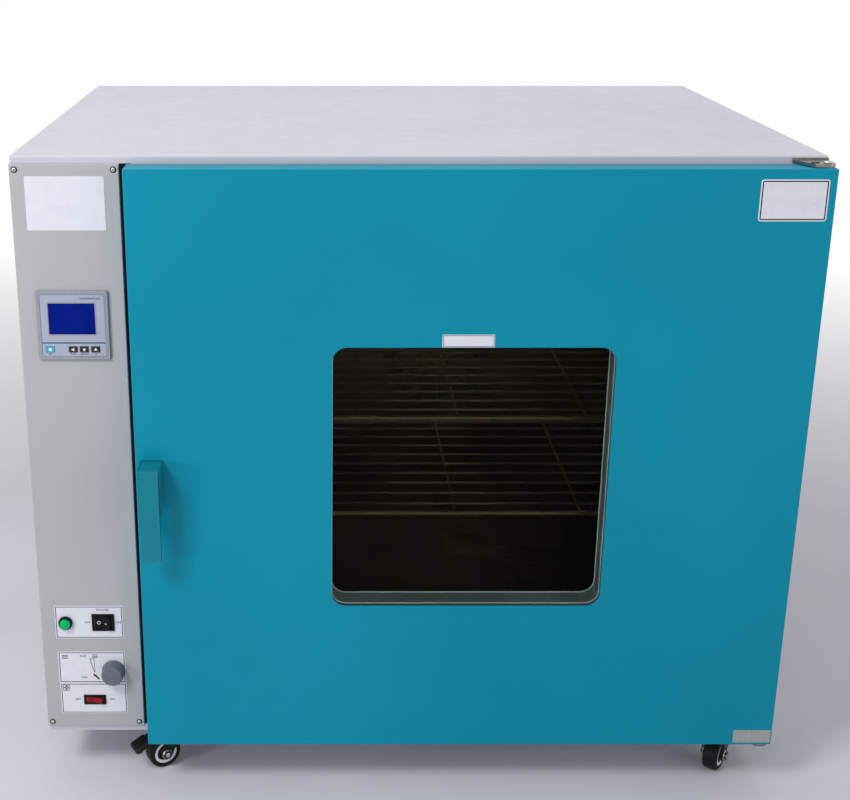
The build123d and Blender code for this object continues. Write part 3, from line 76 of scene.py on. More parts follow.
# Surfaces: node groups, and materials around them
class Tree:
    """Short calls for the nodes of one group or material."""

    def __init__(self, tree):
        self.tree = tree

    def add(self, kind, **settings):
        made = self.tree.nodes.new("ShaderNode" + kind)
        for key, value in settings.items():
            setattr(made, key, value)
        return made

    def join(self, source, target):
        self.tree.links.new(source, target)

    def feed(self, holder, values):
        """Each input takes a number, a colour of three shares or a link."""
        for key, value in values.items():
            if isinstance(value, bpy.types.NodeSocket):
                self.join(value, holder.inputs[key])
            else:
                holder.inputs[key].default_value = (*value, 1.0) if isinstance(value, tuple) else value

    def noise(self, vector, scale, detail=2.0, roughness=0.5):
        made = self.add("TexNoise")
        self.feed(made, {"Scale": scale, "Detail": detail, "Roughness": roughness, "Vector": vector})
        return made.outputs["Fac"]

    def spread(self, value, low, high, out_low=0.0, out_high=1.0):
        made = self.add("MapRange")
        self.feed(made, {
            "Value": value, "From Min": low, "From Max": high, "To Min": out_low, "To Max": out_high,
        })
        return made.outputs["Result"]

    def sum(self, operation, first, second):
        made = self.add("Math", operation=operation)
        self.feed(made, {0: first, 1: second})
        return made.outputs["Value"]

    def blend(self, share, first, second):
        made = self.add("Mix", data_type="RGBA")
        self.feed(made, {"Factor": share, 6: first, 7: second})
        return made.outputs[2]

    def seen_by(self, first, *others):
        """One for a ray of these kinds, else zero."""
        rays = self.add("LightPath").outputs
        seen = rays[first]
        for kind in others:
            seen = self.sum("MAXIMUM", seen, rays[kind])
        return seen


def new_group(name, sockets, results):
    """A shader node group with its sockets; returns it with its Tree."""
    group = bpy.data.node_groups.new(name, "ShaderNodeTree")
    for label, kind, value in sockets:
        made = group.interface.new_socket(label, in_out="INPUT", socket_type=kind)
        made.default_value = value
    for label, kind in results:
        group.interface.new_socket(label, in_out="OUTPUT", socket_type=kind)
    return group, Tree(group)


def surface_group(name, sockets):
    results = (
        ("Colour", "NodeSocketColor"),
        ("Roughness", "NodeSocketFloat"),
        ("Height", "NodeSocketFloat"),
    )
    group, tree = new_group(name, sockets, results)
    given = group.nodes.new("NodeGroupInput")
    result = group.nodes.new("NodeGroupOutput")
    place = tree.add("TexCoord").outputs["Object"]
    return group, tree, given.outputs, result.inputs, place


def make_powder_coat():
    """Sprayed paint: a fine orange peel, and a slight drift of tone."""
    group, tree, given, result, place = surface_group(
        "powder_coat",
        (
            ("Colour", "NodeSocketColor", (0.5, 0.5, 0.5, 1.0)),
            ("Second colour", "NodeSocketColor", (0.4, 0.4, 0.4, 1.0)),
            ("Roughness", "NodeSocketFloat", 0.4),
            ("Peel scale", "NodeSocketFloat", 700.0),
        ),
    )
    drift = tree.noise(place, 2.6, 3.0)
    share = tree.spread(drift, 0.35, 0.65)
    tree.join(tree.blend(share, given["Colour"], given["Second colour"]), result["Colour"])
    cloud = tree.noise(place, 34.0, 4.0)
    tree.join(
        tree.sum("ADD", given["Roughness"], tree.spread(cloud, 0.3, 0.7, -0.05, 0.05)),
        result["Roughness"],
    )
    tree.join(tree.noise(place, given["Peel scale"]), result["Height"])
    return group


def make_brushed():
    """Rolled or brushed sheet: fine lines along one axis, and faint smears."""
    group, tree, given, result, place = surface_group(
        "brushed_sheet",
        (
            ("Colour", "NodeSocketColor", (0.6, 0.6, 0.6, 1.0)),
            ("Line colour", "NodeSocketColor", (0.4, 0.4, 0.4, 1.0)),
            ("Roughness", "NodeSocketFloat", 0.3),
            ("Lines", "NodeSocketVector", (8.0, 900.0, 900.0)),
        ),
    )
    stretch = tree.add("VectorMath", operation="MULTIPLY")
    tree.join(place, stretch.inputs[0])
    tree.join(given["Lines"], stretch.inputs[1])
    lines = tree.noise(stretch.outputs["Vector"], 1.0, 3.0, 0.6)
    share = tree.spread(lines, 0.35, 0.65)
    tree.join(tree.blend(share, given["Colour"], given["Line colour"]), result["Colour"])
    smear = tree.noise(place, 12.0, 4.0)
    rough = tree.sum("ADD", given["Roughness"], tree.spread(smear, 0.3, 0.7, -0.06, 0.08))
    tree.join(tree.sum("ADD", rough, tree.spread(lines, 0.3, 0.7, -0.04, 0.04)), result["Roughness"])
    tree.join(lines, result["Height"])
    return group


def make_moulded():
    """Moulded plastic or rubber: a spark-eroded grain and rubbed patches."""
    group, tree, given, result, place = surface_group(
        "moulded_grain",
        (
            ("Colour", "NodeSocketColor", (0.1, 0.1, 0.1, 1.0)),
            ("Rubbed colour", "NodeSocketColor", (0.15, 0.15, 0.15, 1.0)),
            ("Roughness", "NodeSocketFloat", 0.5),
            ("Grain scale", "NodeSocketFloat", 2500.0),
        ),
    )
    rub = tree.noise(place, 60.0, 5.0, 0.6)
    share = tree.spread(rub, 0.45, 0.75)
    tree.join(tree.blend(share, given["Colour"], given["Rubbed colour"]), result["Colour"])
    tree.join(
        tree.sum("ADD", given["Roughness"], tree.spread(rub, 0.3, 0.7, 0.05, -0.07)),
        result["Roughness"],
    )
    tree.join(tree.noise(place, given["Grain scale"], 1.5), result["Height"])
    return group


powder_coat = make_powder_coat()
brushed_sheet = make_brushed()
moulded_grain = make_moulded()


def new_material(name):
    """A material with its Tree and its shader."""
    made = bpy.data.materials.new(name)
    made.use_nodes = True
    return made, Tree(made.node_tree), made.node_tree.nodes["Principled BSDF"]


def finish(name, group, bump, shine=0.5, glow=None, **wanted):
    """A material around one surface group. Colours are given as they look, 0 to
    255, and a glow as a colour and a strength. Names of shader sockets go
    straight to the shader, and the others to the group."""
    made, tree, shader = new_material(name)
    surface = tree.add("Group")
    surface.node_tree = group
    for label, value in wanted.items():
        label = label.replace("_", " ")
        holder = surface if label in surface.inputs else shader
        if "colour" in label.lower():
            value = (*paint(*value), 1.0)
        holder.inputs[label].default_value = value
    if glow:
        colour, strength = glow
        tree.feed(shader, {"Emission Color": paint(*colour), "Emission Strength": strength})
    relief = tree.add("Bump")
    tree.feed(relief, {"Strength": 1.0, "Distance": bump, "Height": surface.outputs["Height"]})
    tree.feed(shader, {
        "Base Color": surface.outputs["Colour"],
        "Roughness": surface.outputs["Roughness"],
        "Normal": relief.outputs["Normal"],
        "Specular IOR Level": shine,
    })
    return made


def painted(name, colour, second, rough, bump=0.00004, **more):
    return finish(
        name, powder_coat, bump, Colour=colour, Second_colour=second, Roughness=rough, **more
    )


def metal(name, colour, line, rough, lines=(8.0, 900.0, 900.0), bump=0.00002, **more):
    return finish(
        name, brushed_sheet, bump, Colour=colour, Line_colour=line, Roughness=rough,
        Lines=lines, Metallic=1.0, **more
    )


def plastic(name, colour, rubbed, rough, bump=0.00002, **more):
    return finish(
        name, moulded_grain, bump, Colour=colour, Rubbed_colour=rubbed, Roughness=rough, **more
    )


door_paint = painted("door_paint", (6, 142, 169), (5, 136, 163), 0.42, shine=0.14)
handle_paint = painted("handle_paint", (14, 122, 140), (18, 128, 146), 0.36, shine=0.22)
panel_paint = painted("panel_paint", (175, 175, 177), (179, 179, 181), 0.45, shine=0.22)
cover_paint = painted("cover_paint", (204, 200, 211), (199, 195, 206), 0.36, shine=0.3)
caster_paint = painted("caster_paint", (14, 14, 15), (20, 20, 22), 0.35, shine=0.3)
stainless = metal("stainless", (196, 195, 190), (176, 175, 170), 0.3, (900.0, 8.0, 8.0))
chamber_steel = metal("chamber_steel", (172, 166, 156), (156, 150, 140), 0.32, (8.0, 8.0, 900.0))
# Painted light: the shelf wires glow faintly, standing in for light in the unlit chamber.
shelf_steel_painted_light = metal(
    "shelf_steel_painted_light", (205, 200, 192), (190, 186, 178), 0.25,
    glow=((205, 188, 150), 0.032),
)
zinc = metal("zinc", (205, 206, 204), (176, 178, 180), 0.34)
cast_metal = metal(
    "cast_metal", (150, 152, 154), (132, 134, 136), 0.5, (300.0, 300.0, 300.0), 0.0001
)
fan_metal = metal("fan_metal", (196, 198, 199), (180, 182, 184), 0.35)
heater_sheath = metal("heater_sheath", (104, 92, 84), (84, 78, 78), 0.45)
# Painted light: the window frame glows faintly, so the jamb seen through the glass looks lit.
frame_steel_painted_light = metal(
    "frame_steel_painted_light", (128, 146, 144), (112, 130, 128), 0.5,
    glow=((96, 116, 112), 0.14),
)
# Painted highlight: a light, glowing material for the bright lines along the window frame's flange
# edges.
painted_highlight_line = plastic(
    "painted_highlight_line", (170, 180, 178), (156, 166, 164), 0.4,
    glow=((190, 200, 198), 0.09),
)
hinge_steel = metal("hinge_steel", (150, 148, 142), (122, 120, 116), 0.28)
bronze = metal("bronze", (180, 142, 84), (160, 124, 72), 0.4)
wool = finish(
    "mineral_wool", moulded_grain, 0.0006,
    Colour=(196, 184, 140), Rubbed_colour=(170, 156, 112), Roughness=0.95, Grain_scale=400.0,
)
silicone = plastic("silicone", (196, 194, 186), (184, 182, 174), 0.62)
bezel_grey = plastic("bezel_grey", (146, 150, 160), (152, 156, 166), 0.5, shine=0.22)
face_film = plastic("face_film", (166, 170, 188), (170, 174, 191), 0.4, shine=0.25)
display = plastic("display", (2, 24, 122), (3, 30, 132), 0.25, 0.000002, shine=0.04)
key_black = plastic("key_black", (38, 40, 46), (46, 48, 54), 0.4, shine=0.25)
key_teal = plastic("key_teal", (44, 168, 200), (58, 178, 208), 0.4, shine=0.25)
moulded_black = plastic("moulded_black", (9, 9, 10), (16, 16, 18), 0.4, shine=0.14)
lamp_green = plastic(
    "lamp_green", (0, 168, 96), (0, 178, 108), 0.2, 0.00001,
    glow=((0, 170, 96), 0.1), shine=0.15,
)
switch_red = plastic(
    "switch_red", (132, 2, 4), (150, 8, 8), 0.2, 0.00001,
    glow=((150, 0, 0), 0.06), shine=0.3,
)
knob_grey = plastic("knob_grey", (98, 102, 114), (108, 112, 123), 0.5, shine=0.3)
knob_cap_grey = plastic("knob_cap_grey", (122, 126, 140), (130, 134, 147), 0.42, shine=0.3)
tread_black = plastic("tread_black", (10, 10, 11), (18, 18, 19), 0.5, shine=0.2)
ring_grey = plastic("ring_grey", (232, 230, 238), (222, 220, 228), 0.4)
plate_film = plastic("plate_film", (222, 223, 231), (216, 218, 227), 0.34, 0.000008, shine=0.25)
print_ink = plastic("print_ink", (6, 6, 8), (12, 12, 14), 0.5, 0.000005, shine=0.08)
faint_ink = plastic("faint_ink", (44, 46, 54), (52, 54, 62), 0.5, 0.000005, shine=0.1)
print_white = plastic("print_white", (235, 236, 238), (228, 229, 232), 0.45, 0.000005)
rule_teal = plastic("rule_teal", (14, 98, 112), (20, 106, 120), 0.45, 0.000005, shine=0.2)


def make_glass(name, tint, second_tint):
    """Toughened glass: a slight cast, and faint smears in its polish."""
    made, tree, shader = new_material(name)
    place = tree.add("TexCoord").outputs["Object"]
    cast = tree.spread(tree.noise(place, 5.0, 3.0), 0.3, 0.7)
    smear = tree.noise(place, 26.0, 5.0)
    tree.feed(shader, {
        "Transmission Weight": 1.0,
        "IOR": 1.07,
        "Base Color": tree.blend(cast, tint, second_tint),
        "Roughness": tree.spread(smear, 0.4, 0.8, 0.0, 0.03),
    })
    return made


clear_glass = make_glass("clear_glass", (0.88, 0.91, 0.90), (0.85, 0.88, 0.87))
dark_glass = make_glass("dark_glass", (0.33, 0.31, 0.25), (0.27, 0.25, 0.20))

node_finish = {
    door_paint: ("door_outer_shell",),
    handle_paint: ("handle_base", "handle_lever"),
    panel_paint: ("control_panel",),
    cover_paint: (
        "top_cover", "base_pan", "left_side_panel", "right_side_panel", "rear_cover", "front_frame",
    ),
    stainless: ("door_inner_panel", "exhaust_spigot", "temperature_probe"),
    frame_steel_painted_light: ("door_window_frame",),
    hinge_steel: ("hinge_plates",),
    chamber_steel: ("inner_chamber", "shelf_rails", "air_baffle"),
    shelf_steel_painted_light: ("lower_shelf", "upper_shelf"),
    zinc: ("panel_screws", "door_striker", "latch_claw", "handle_pin", "bay_partition"),
    wool: ("insulation", "door_insulation"),
    clear_glass: ("door_outer_glass",),
    dark_glass: ("door_inner_glass",),
    silicone: ("door_seal",),
    bronze: ("door_bushes",),
    bezel_grey: ("controller_housing",),
    display: ("controller_screen",),
    key_black: ("key_left", "key_down", "key_up"),
    key_teal: ("key_menu",),
    moulded_black: ("lamp_bezel", "switch_housings", "speed_regulator", "power_rocker", "cable_gland"),
    lamp_green: ("lamp_lens",),
    switch_red: ("fan_rocker",),
    knob_grey: ("speed_knob",),
    heater_sheath: ("heating_element",),
    cast_metal: ("fan_motor",),
    fan_metal: ("fan_impeller",),
    caster_paint: (
        "caster_mounts", "front_left_fork", "front_right_fork", "rear_left_fork", "rear_right_fork",
        "front_left_pedal", "rear_right_pedal",
    ),
    tread_black: ("front_left_wheel", "front_right_wheel", "rear_left_wheel", "rear_right_wheel"),
}
for material, names in node_finish.items():
    for name in names:
        node[name].data.materials.clear()
        node[name].data.materials.append(material)


# Makers of mesh pieces
def linked(name, data):
    """A scene object of its own for a mesh, a curve, a lamp or a camera."""
    made = bpy.data.objects.new(name, data)
    bpy.context.scene.collection.objects.link(made)
    return made


def mesh_of(name, shape):
    mesh = bpy.data.meshes.new(name)
    shape.to_mesh(mesh)
    shape.free()
    return mesh


def piece(name, shape, body, material, smooth=False):
    """Links a bmesh as one piece that rides on a body."""
    bmesh.ops.recalc_face_normals(shape, faces=shape.faces)
    mesh = mesh_of(name, shape)
    for face in mesh.polygons:
        face.use_smooth = smooth
    mesh.materials.append(material)
    made = linked(name, mesh)
    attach(made, body)
    return made


def round_point(x, z, radius, degrees):
    return x + radius * cos(radians(degrees)), z + radius * sin(radians(degrees))


def rounded(x0, z0, x1, z1, radius, steps=6):
    """Corner points of a rectangle with rounded corners."""
    points = []
    for centre_x, centre_z, start in (
        (x1 - radius, z1 - radius, 0),
        (x0 + radius, z1 - radius, 90),
        (x0 + radius, z0 + radius, 180),
        (x1 - radius, z0 + radius, 270),
    ):
        for step in range(steps + 1):
            points.append(round_point(centre_x, centre_z, radius, start + 90 * step / steps))
    return points


def pulled(shape, faces, way):
    """Extrudes faces by a vector."""
    grown = bmesh.ops.extrude_face_region(shape, geom=faces)
    moved = [item for item in grown["geom"] if isinstance(item, bmesh.types.BMVert)]
    bmesh.ops.translate(shape, verts=moved, vec=way)


def front_slab(outlines, back, thick, bevel=0.0):
    """Flat slabs that face the front; each outline is (x, z) points."""
    shape = bmesh.new()
    for outline in outlines:
        face = shape.faces.new([shape.verts.new((x, back, z)) for x, z in outline])
        pulled(shape, [face], (0, -thick, 0))
    if bevel:
        front = [
            edge for edge in shape.edges
            if all(abs(vert.co.y - (back - thick)) < 1e-7 for vert in edge.verts)
        ]
        bmesh.ops.bevel(shape, geom=front, offset=bevel, segments=2, affect="EDGES", profile=0.5)
    return shape


def front_ring(pairs, back, thick):
    """Flat rings that face the front, between outer and inner outlines."""
    shape = bmesh.new()
    for outer, inner in pairs:
        loops = [
            [shape.verts.new((x, depth, z)) for x, z in outline]
            for outline in (outer, inner) for depth in (back, back - thick)
        ]
        outer_back, outer_front, inner_back, inner_front = loops
        for step in range(len(outer)):
            after = (step + 1) % len(outer)
            for first, second in (
                (outer_front, inner_front),
                (inner_back, outer_back),
                (outer_back, outer_front),
                (inner_front, inner_back),
            ):
                shape.faces.new((first[step], first[after], second[after], second[step]))
    return shape


def turned(profile, place=Matrix(), steps=64, closed=False, flute=None):
    """A turned form: profile is (radius, height) points round local Z. A flute
    function gives a change of radius for a profile point and an angle."""
    shape = bmesh.new()
    rows = []
    for number, (radius, height) in enumerate(profile):
        if radius == 0:
            rows.append([shape.verts.new(place @ Vector((0, 0, height)))])
            continue
        row = []
        for step in range(steps):
            turn = 2 * pi * step / steps
            reach = radius + (flute(number, turn) if flute else 0.0)
            row.append(shape.verts.new(place @ Vector((reach * cos(turn), reach * sin(turn), height))))
        rows.append(row)
    pairs = list(zip(rows, rows[1:])) + ([(rows[-1], rows[0])] if closed else [])
    for low, high in pairs:
        for step in range(steps):
            after = (step + 1) % steps
            ring = ((low, step), (low, after), (high, after), (high, step))
            corners = list(dict.fromkeys(row[number % len(row)] for row, number in ring))
            if len(corners) > 2:
                shape.faces.new(corners)
    return shape


def tube(shape, path, radius, sides=12, closed=False):
    """Adds a round bar along points to a bmesh."""
    count = len(path)
    rows = []
    side = None
    for step, point in enumerate(path):
        before = path[(step - 1) % count] if closed or step else point
        after = path[(step + 1) % count] if closed or step < count - 1 else point
        along = (after - before).normalized()
        if side is None:
            side = along.orthogonal().normalized()
        side = (side - along * side.dot(along)).normalized()
        other = along.cross(side)
        turns = [2 * pi * turn / sides for turn in range(sides)]
        rows.append([
            shape.verts.new(point + side * (radius * cos(turn)) + other * (radius * sin(turn)))
            for turn in turns
        ])
    for step in range(count if closed else count - 1):
        low, high = rows[step], rows[(step + 1) % count]
        for turn in range(sides):
            after = (turn + 1) % sides
            shape.faces.new((low[turn], low[after], high[after], high[turn]))
    if not closed:
        shape.faces.new(rows[0])
        shape.faces.new(rows[-1])


def profile_bar(shape, points, place, length):
    """Adds a prism to a bmesh: local (x, z) points pulled along local Y, centred."""
    ends = [
        [shape.verts.new(place @ Vector((x, y, z))) for x, z in points]
        for y in (-length / 2, length / 2)
    ]
    for end in ends:
        shape.faces.new(end)
    for step in range(len(points)):
        after = (step + 1) % len(points)
        shape.faces.new((ends[0][step], ends[0][after], ends[1][after], ends[1][step]))


def softened(made, width, segments=3):
    """Rounds a piece's sharp edges with a bevel and smooths its faces."""
    rounding = made.modifiers.new("rounding", "BEVEL")
    rounding.width = width
    rounding.segments = segments
    rounding.limit_method = "ANGLE"
    rounding.angle_limit = radians(30)
    rounding.harden_normals = True
    for face in made.data.polygons:
        face.use_smooth = True
    return made


def take_in(shape, part):
    """Adds one bmesh to another and frees it."""
    mesh = mesh_of("part", part)
    shape.from_mesh(mesh)
    bpy.data.meshes.remove(mesh)


def printed(name, shape, body="cabinet", material=None):
    return piece(name, shape, body, material or print_ink)


def middle(node_name):
    """The middle of a CAD node's box, seen from the front: x and z."""
    low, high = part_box(node_name)
    return (low.x + high.x) / 2, (low.z + high.z) / 2


def facing_front(x, y, z):
    """Local Z points to the front, local X to the right."""
    return Matrix.Translation((x, y, z)) @ Matrix.Rotation(radians(90), 4, "X")


def inset(outline_box, gap, radius):
    x0, z0, x1, z1 = outline_box
    return rounded(x0 + gap, z0 + gap, x1 - gap, z1 - gap, radius)


def on_panel(x, z):
    """Panel millimetres to a place in the shared frame."""
    return panel_low.x + x / 1000, panel_low.z + z / 1000


def words(name, text, height, place, body, material, lean=0.0):
    """Printed words, centred on a place of a face that looks to the front."""
    curve = bpy.data.curves.new(name + "_curve", "FONT")
    curve.body = text
    curve.size = height
    curve.align_x = "CENTER"
    curve.align_y = "CENTER"
    curve.extrude = ink / 2
    curve.resolution_u = 3
    holder = linked(name + "_holder", curve)
    bpy.context.view_layer.update()
    graph = bpy.context.evaluated_depsgraph_get()
    mesh = bpy.data.meshes.new_from_object(holder.evaluated_get(graph))
    bpy.data.objects.remove(holder)
    mesh.transform(
        Matrix.Translation(place)
        @ Matrix.Rotation(radians(lean), 4, "Z")
        @ Matrix.Rotation(radians(90), 4, "X")
        @ Matrix.Translation((0, 0, ink / 2))
    )
    mesh.materials.clear()
    mesh.materials.append(material)
    made = linked(name, mesh)
    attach(made, body)
    return made


def plate(name, corners, radius, back, body, line_gap=0.0, line=0.0006, material=None):
    """A self-adhesive plate with, where wanted, a printed line near its edge."""
    low = on_panel(corners[0], corners[1])
    high = on_panel(corners[2], corners[3])
    area = (low[0], low[1], high[0], high[1])
    piece(
        name, front_slab([rounded(*area, radius)], back, film, film / 3), body,
        material or plate_film,
    )
    if line_gap:
        outer = inset(area, line_gap, max(radius - line_gap, 0.0006))
        inner = inset(area, line_gap + line, max(radius - line_gap - line, 0.0003))
        printed(name + "_line", front_ring([(outer, inner)], back - film, ink), body)


# Blank plates. Corners are x0, z0, x1, z1 in panel millimetres, then come the
# corner radius, and how far in and how wide the printed line is.
for name, corners, radius, *line in (
    ("name_plate", (19, 746, 122, 817.3), 0.002),
    ("power_plate", (20.1, 145.7, 118.2, 198.2), 0.0025, 0.0015, 0.0009),
    ("speed_plate", (21, 72.6, 118.5, 124.1), 0.0025, 0.0015, 0.0009),
    ("fan_plate", (21.7, 21.5, 118.4, 72.2), 0.0025, 0.0015, 0.0009),
):
    plate(name, corners, radius, panel_face, "cabinet", *line)
plate("door_plate", (958, 766, 1045, 820), 0.0035, door_face, "door", 0.0018, 0.0014)
plate("window_plate", (561, 597.6, 630, 615), 0.0015, door_face, "door", 0.001)
plate("foot_plate", (998.5, -4.6, 1052.6, 16), 0.0015, door_face, "door", material=stainless)


# Temperature controller: face film, printed rule, screen edge and key signs
screen_low, screen_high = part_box("controller_screen")
face_y = screen_low.y
keys = ("key_menu", "key_left", "key_down", "key_up")


def dress_controller():
    film_gap = 0.00045
    edge = 0.0011
    key_word_drop = 0.0026
    arrow_r = 0.0027
    front = face_y - film
    area = (*on_panel(29.6, 575.1), *on_panel(114.4, 659.9))
    x0, z0, x1, z1 = screen_low.x, screen_low.z, screen_high.x, screen_high.z
    openings = [(x0, z0, x1, z1)]
    for name in keys:
        key_low, key_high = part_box(name)
        openings.append((key_low.x, key_low.z, key_high.x, key_high.z))
    piece(
        "controller_face", holed_sheet(area, 0.0025, openings, face_y, film, film_gap),
        "cabinet", face_film,
    )
    outer = rounded(x0 - edge, z0 - edge, x1 + edge, z1 + edge, 0.0012, 3)
    lap = edge / 3
    inner = rounded(x0 + lap, z0 + lap, x1 - lap, z1 - lap, 0.0008, 3)
    printed("screen_edge", front_ring([(outer, inner)], front, 0.0003), material=bezel_grey)
    rule = rounded(*on_panel(29.8, 592.5), *on_panel(114.2, 594.3), 0.0003, 2)
    printed("controller_rule", front_slab([rule], front, ink), material=rule_teal)
    title_x, title_z = on_panel(96, 654.6)
    words("controller_title", "TEMPERATURE", 0.0042, (title_x, front, title_z), "cabinet", faint_ink)
    for name, text in zip(keys, ("SET", "SHIFT", "DOWN", "UP")):
        place = (middle(name)[0], front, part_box(name)[0].z - key_word_drop)
        words(name + "_word", text, 0.0031, place, "cabinet", faint_ink)
    for name, turn in zip(keys[1:], (180, 270, 90)):
        x, z = middle(name)
        corners = [round_point(x, z, arrow_r, turn + step) for step in (0, 120, 240)]
        printed(name + "_sign", front_slab([corners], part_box(name)[0].y, ink), name, print_white)
    x, z = middle("key_menu")
    dot = rounded(x - 0.0022, z - 0.002, x + 0.0022, z + 0.002, 0.0017)
    printed("key_menu_sign", front_slab([dot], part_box("key_menu")[0].y, ink), "key_menu", print_white)


def holed_sheet(area, radius, holes, back, thick, gap):
    """A thin sheet with rectangular windows, built from a grid of cells."""
    x0, z0, x1, z1 = area
    holes = [(a - gap, b - gap, c + gap, d + gap) for a, b, c, d in holes]
    columns = sorted({x0, x1, x0 + radius, x1 - radius} | {v for h in holes for v in (h[0], h[2])})
    rows = sorted({z0, z1, z0 + radius, z1 - radius} | {v for h in holes for v in (h[1], h[3])})
    shape = bmesh.new()
    corner = {}

    def vertex(x, z):
        key = (round(x, 7), round(z, 7))
        if key not in corner:
            corner[key] = shape.verts.new((x, back, z))
        return corner[key]

    for left, right in zip(columns, columns[1:]):
        for low, high in zip(rows, rows[1:]):
            mid_x, mid_z = (left + right) / 2, (low + high) / 2
            inside_hole = any(a < mid_x < c and b < mid_z < d for a, b, c, d in holes)
            at_corner = (mid_x < x0 + radius or mid_x > x1 - radius) and (
                mid_z < z0 + radius or mid_z > z1 - radius
            )
            if inside_hole:
                continue
            if not at_corner:
                cell = ((left, low), (right, low), (right, high), (left, high))
                shape.faces.new([vertex(*place) for place in cell])
                continue
            centre_x = x0 + radius if mid_x < x0 + radius else x1 - radius
            centre_z = z0 + radius if mid_z < z0 + radius else z1 - radius
            start = {(True, True): 180, (False, True): 270, (False, False): 0, (True, False): 90}[
                (mid_x < x0 + radius, mid_z < z0 + radius)
            ]
            centre = (centre_x, centre_z)
            arc = [vertex(*round_point(*centre, radius, start + 15 * step)) for step in range(7)]
            shape.faces.new([vertex(*centre)] + arc)
    bmesh.ops.remove_doubles(shape, verts=shape.verts, dist=1e-7)
    pulled(shape, list(shape.faces), (0, -thick, 0))
    return shape


dress_controller()

# Switches and the speed scale. A rocker's pressed half lies along the panel.
rocker_crest_x = -0.00065
rocker_crest_y = panel_face + 0.001 - 0.00334
raised_lean = -22.0


def dress_rocker(name, material, size):
    """Signs on the pressed half and on the raised half of a rocker."""
    x, z = middle(name)
    x += rocker_crest_x
    reach = 0.0052
    words(name + "_off", "O", size, (x - reach, rocker_crest_y, z), name, material)
    lean = radians(raised_lean)
    place = (x + reach * cos(lean), rocker_crest_y + reach * sin(lean), z)
    words(name + "_on", "-", 1.5 * size, place, name, material, raised_lean)


def on_panel_all(points):
    return [on_panel(x, z) for x, z in points]


def dress_switches():
    dress_rocker("power_rocker", print_white, 0.0075)
    dress_rocker("fan_rocker", print_ink, 0.005)
    face = panel_face - film
    for name, text, size, x, z in (
        ("power_word", "POWER", 0.0052, 89.3, 191.4),
        ("power_off_word", "OFF", 0.0048, 66.6, 171.6),
        ("power_on_word", "ON", 0.0048, 110.9, 171.6),
        ("fan_off_word", "OFF", 0.0048, 46.6, 45.2),
        ("fan_on_word", "ON", 0.0048, 96.6, 45.2),
        ("speed_max_word", "MAX", 0.0045, 57.5, 116.6),
        ("speed_min_word", "MIN", 0.0045, 57.5, 81.6),
    ):
        place_x, place_z = on_panel(x, z)
        words(name, text, size, (place_x, face, place_z), "cabinet", print_ink)

    # Speed scale: a wedge that widens upwards, a pointer and short bars
    wedge = on_panel_all(((66.6, 112.5), (73.2, 112.5), (73.6, 90.5), (72.2, 90.5)))
    inner = on_panel_all(((67.6, 111.8), (72.5, 111.8), (73.1, 92.0), (72.6, 92.0)))
    printed("speed_wedge", front_ring([(wedge, inner)], face, ink))
    arrow = on_panel_all(
        ((71.4, 88.0), (75.2, 85.6), (79.6, 79.4), (77.9, 78.2), (74.2, 82.6), (71.0, 84.8))
    )
    printed("speed_arrow", front_slab([arrow], face, ink))
    bar_h = 0.9
    for number, (x, z, length) in enumerate((
        (26.5, 117.6, 9.0), (26.5, 115.2, 9.0), (26.5, 112.8, 9.0),
        (70.5, 118.4, 8.0), (70.5, 116.0, 8.0), (70.5, 113.9, 8.0),
    )):
        bar = rounded(*on_panel(x, z), *on_panel(x + length, z + bar_h), 0.0003, 2)
        printed(f"speed_mark_{number}", front_slab([bar], face, ink))

    # Fan sign: a rounded frame with four blades
    x, z = on_panel(30.6, 64.4)
    outer = rounded(x - 0.0050, z - 0.0046, x + 0.0050, z + 0.0046, 0.0012, 4)
    inner = rounded(x - 0.0043, z - 0.0039, x + 0.0043, z + 0.0039, 0.0007, 4)
    printed("fan_sign_frame", front_ring([(outer, inner)], face, ink))
    blade = ((0.0007, 0), (0.0020, -42), (0.0033, -30), (0.0036, 6), (0.0026, 30))
    blades = [
        [round_point(x, z, reach, turn + lean) for reach, lean in blade] for turn in (0, 90, 180, 270)
    ]
    printed("fan_sign", front_slab(blades, face, ink))


dress_switches()


def make_window_highlights():
    """Painted highlights: thin light, glowing bars along the edges of the frame's two flanges, seen
    through the outer glass.
    """
    outer_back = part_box("door_outer_glass")[1].y
    low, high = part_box("door_inner_glass")
    glass_seat = 0.010
    window_r = 0.020
    highlight_r = 0.0005
    gap = highlight_r * 0.9
    reach = glass_seat + gap
    outline = rounded(low.x + reach, low.z + reach, high.x - reach, high.z - reach, window_r - gap, 10)
    for name, depth in (("inner", low.y - highlight_r), ("outer", outer_back + 4 * highlight_r)):
        shape = bmesh.new()
        path = [Vector((x, depth, z)) for x, z in outline]
        tube(shape, path, highlight_r, 8, True)
        piece(f"window_highlight_{name}", shape, "door", painted_highlight_line, True)


make_window_highlights()


def make_lamp():
    """Domed green lens in a black collar."""
    low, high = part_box("lamp_lens")
    bezel_low, bezel_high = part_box("lamp_bezel")
    x, z = middle("lamp_lens")
    radius = (high.x - low.x) / 2
    depth = high.y - low.y
    straight = 0.62
    dome_steps = 8
    lens = [(0.0, 0.0), (radius, 0.0), (radius, depth * straight)]
    for step in range(1, dome_steps):
        turn = radians(90 * step / dome_steps)
        lens.append((radius * cos(turn), depth * (straight + (1 - straight) * sin(turn))))
    lens.append((0.0, depth))
    dome = turned(lens, facing_front(x, high.y, z))
    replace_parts(piece("lamp_dome", dome, "cabinet", lamp_green, True), "lamp_lens")
    reach = (bezel_high.x - bezel_low.x) / 2
    sunk = 0.0018
    collar = [(0.80, 0.0), (0.99, 0.0), (0.99, 0.0013), (0.92, 0.0019), (0.80, 0.0019)]
    ring = turned(
        [(reach * share, height) for share, height in collar],
        facing_front(x, bezel_low.y + sunk, z), 64, True,
    )
    piece("lamp_collar", ring, "cabinet", moulded_black, True)


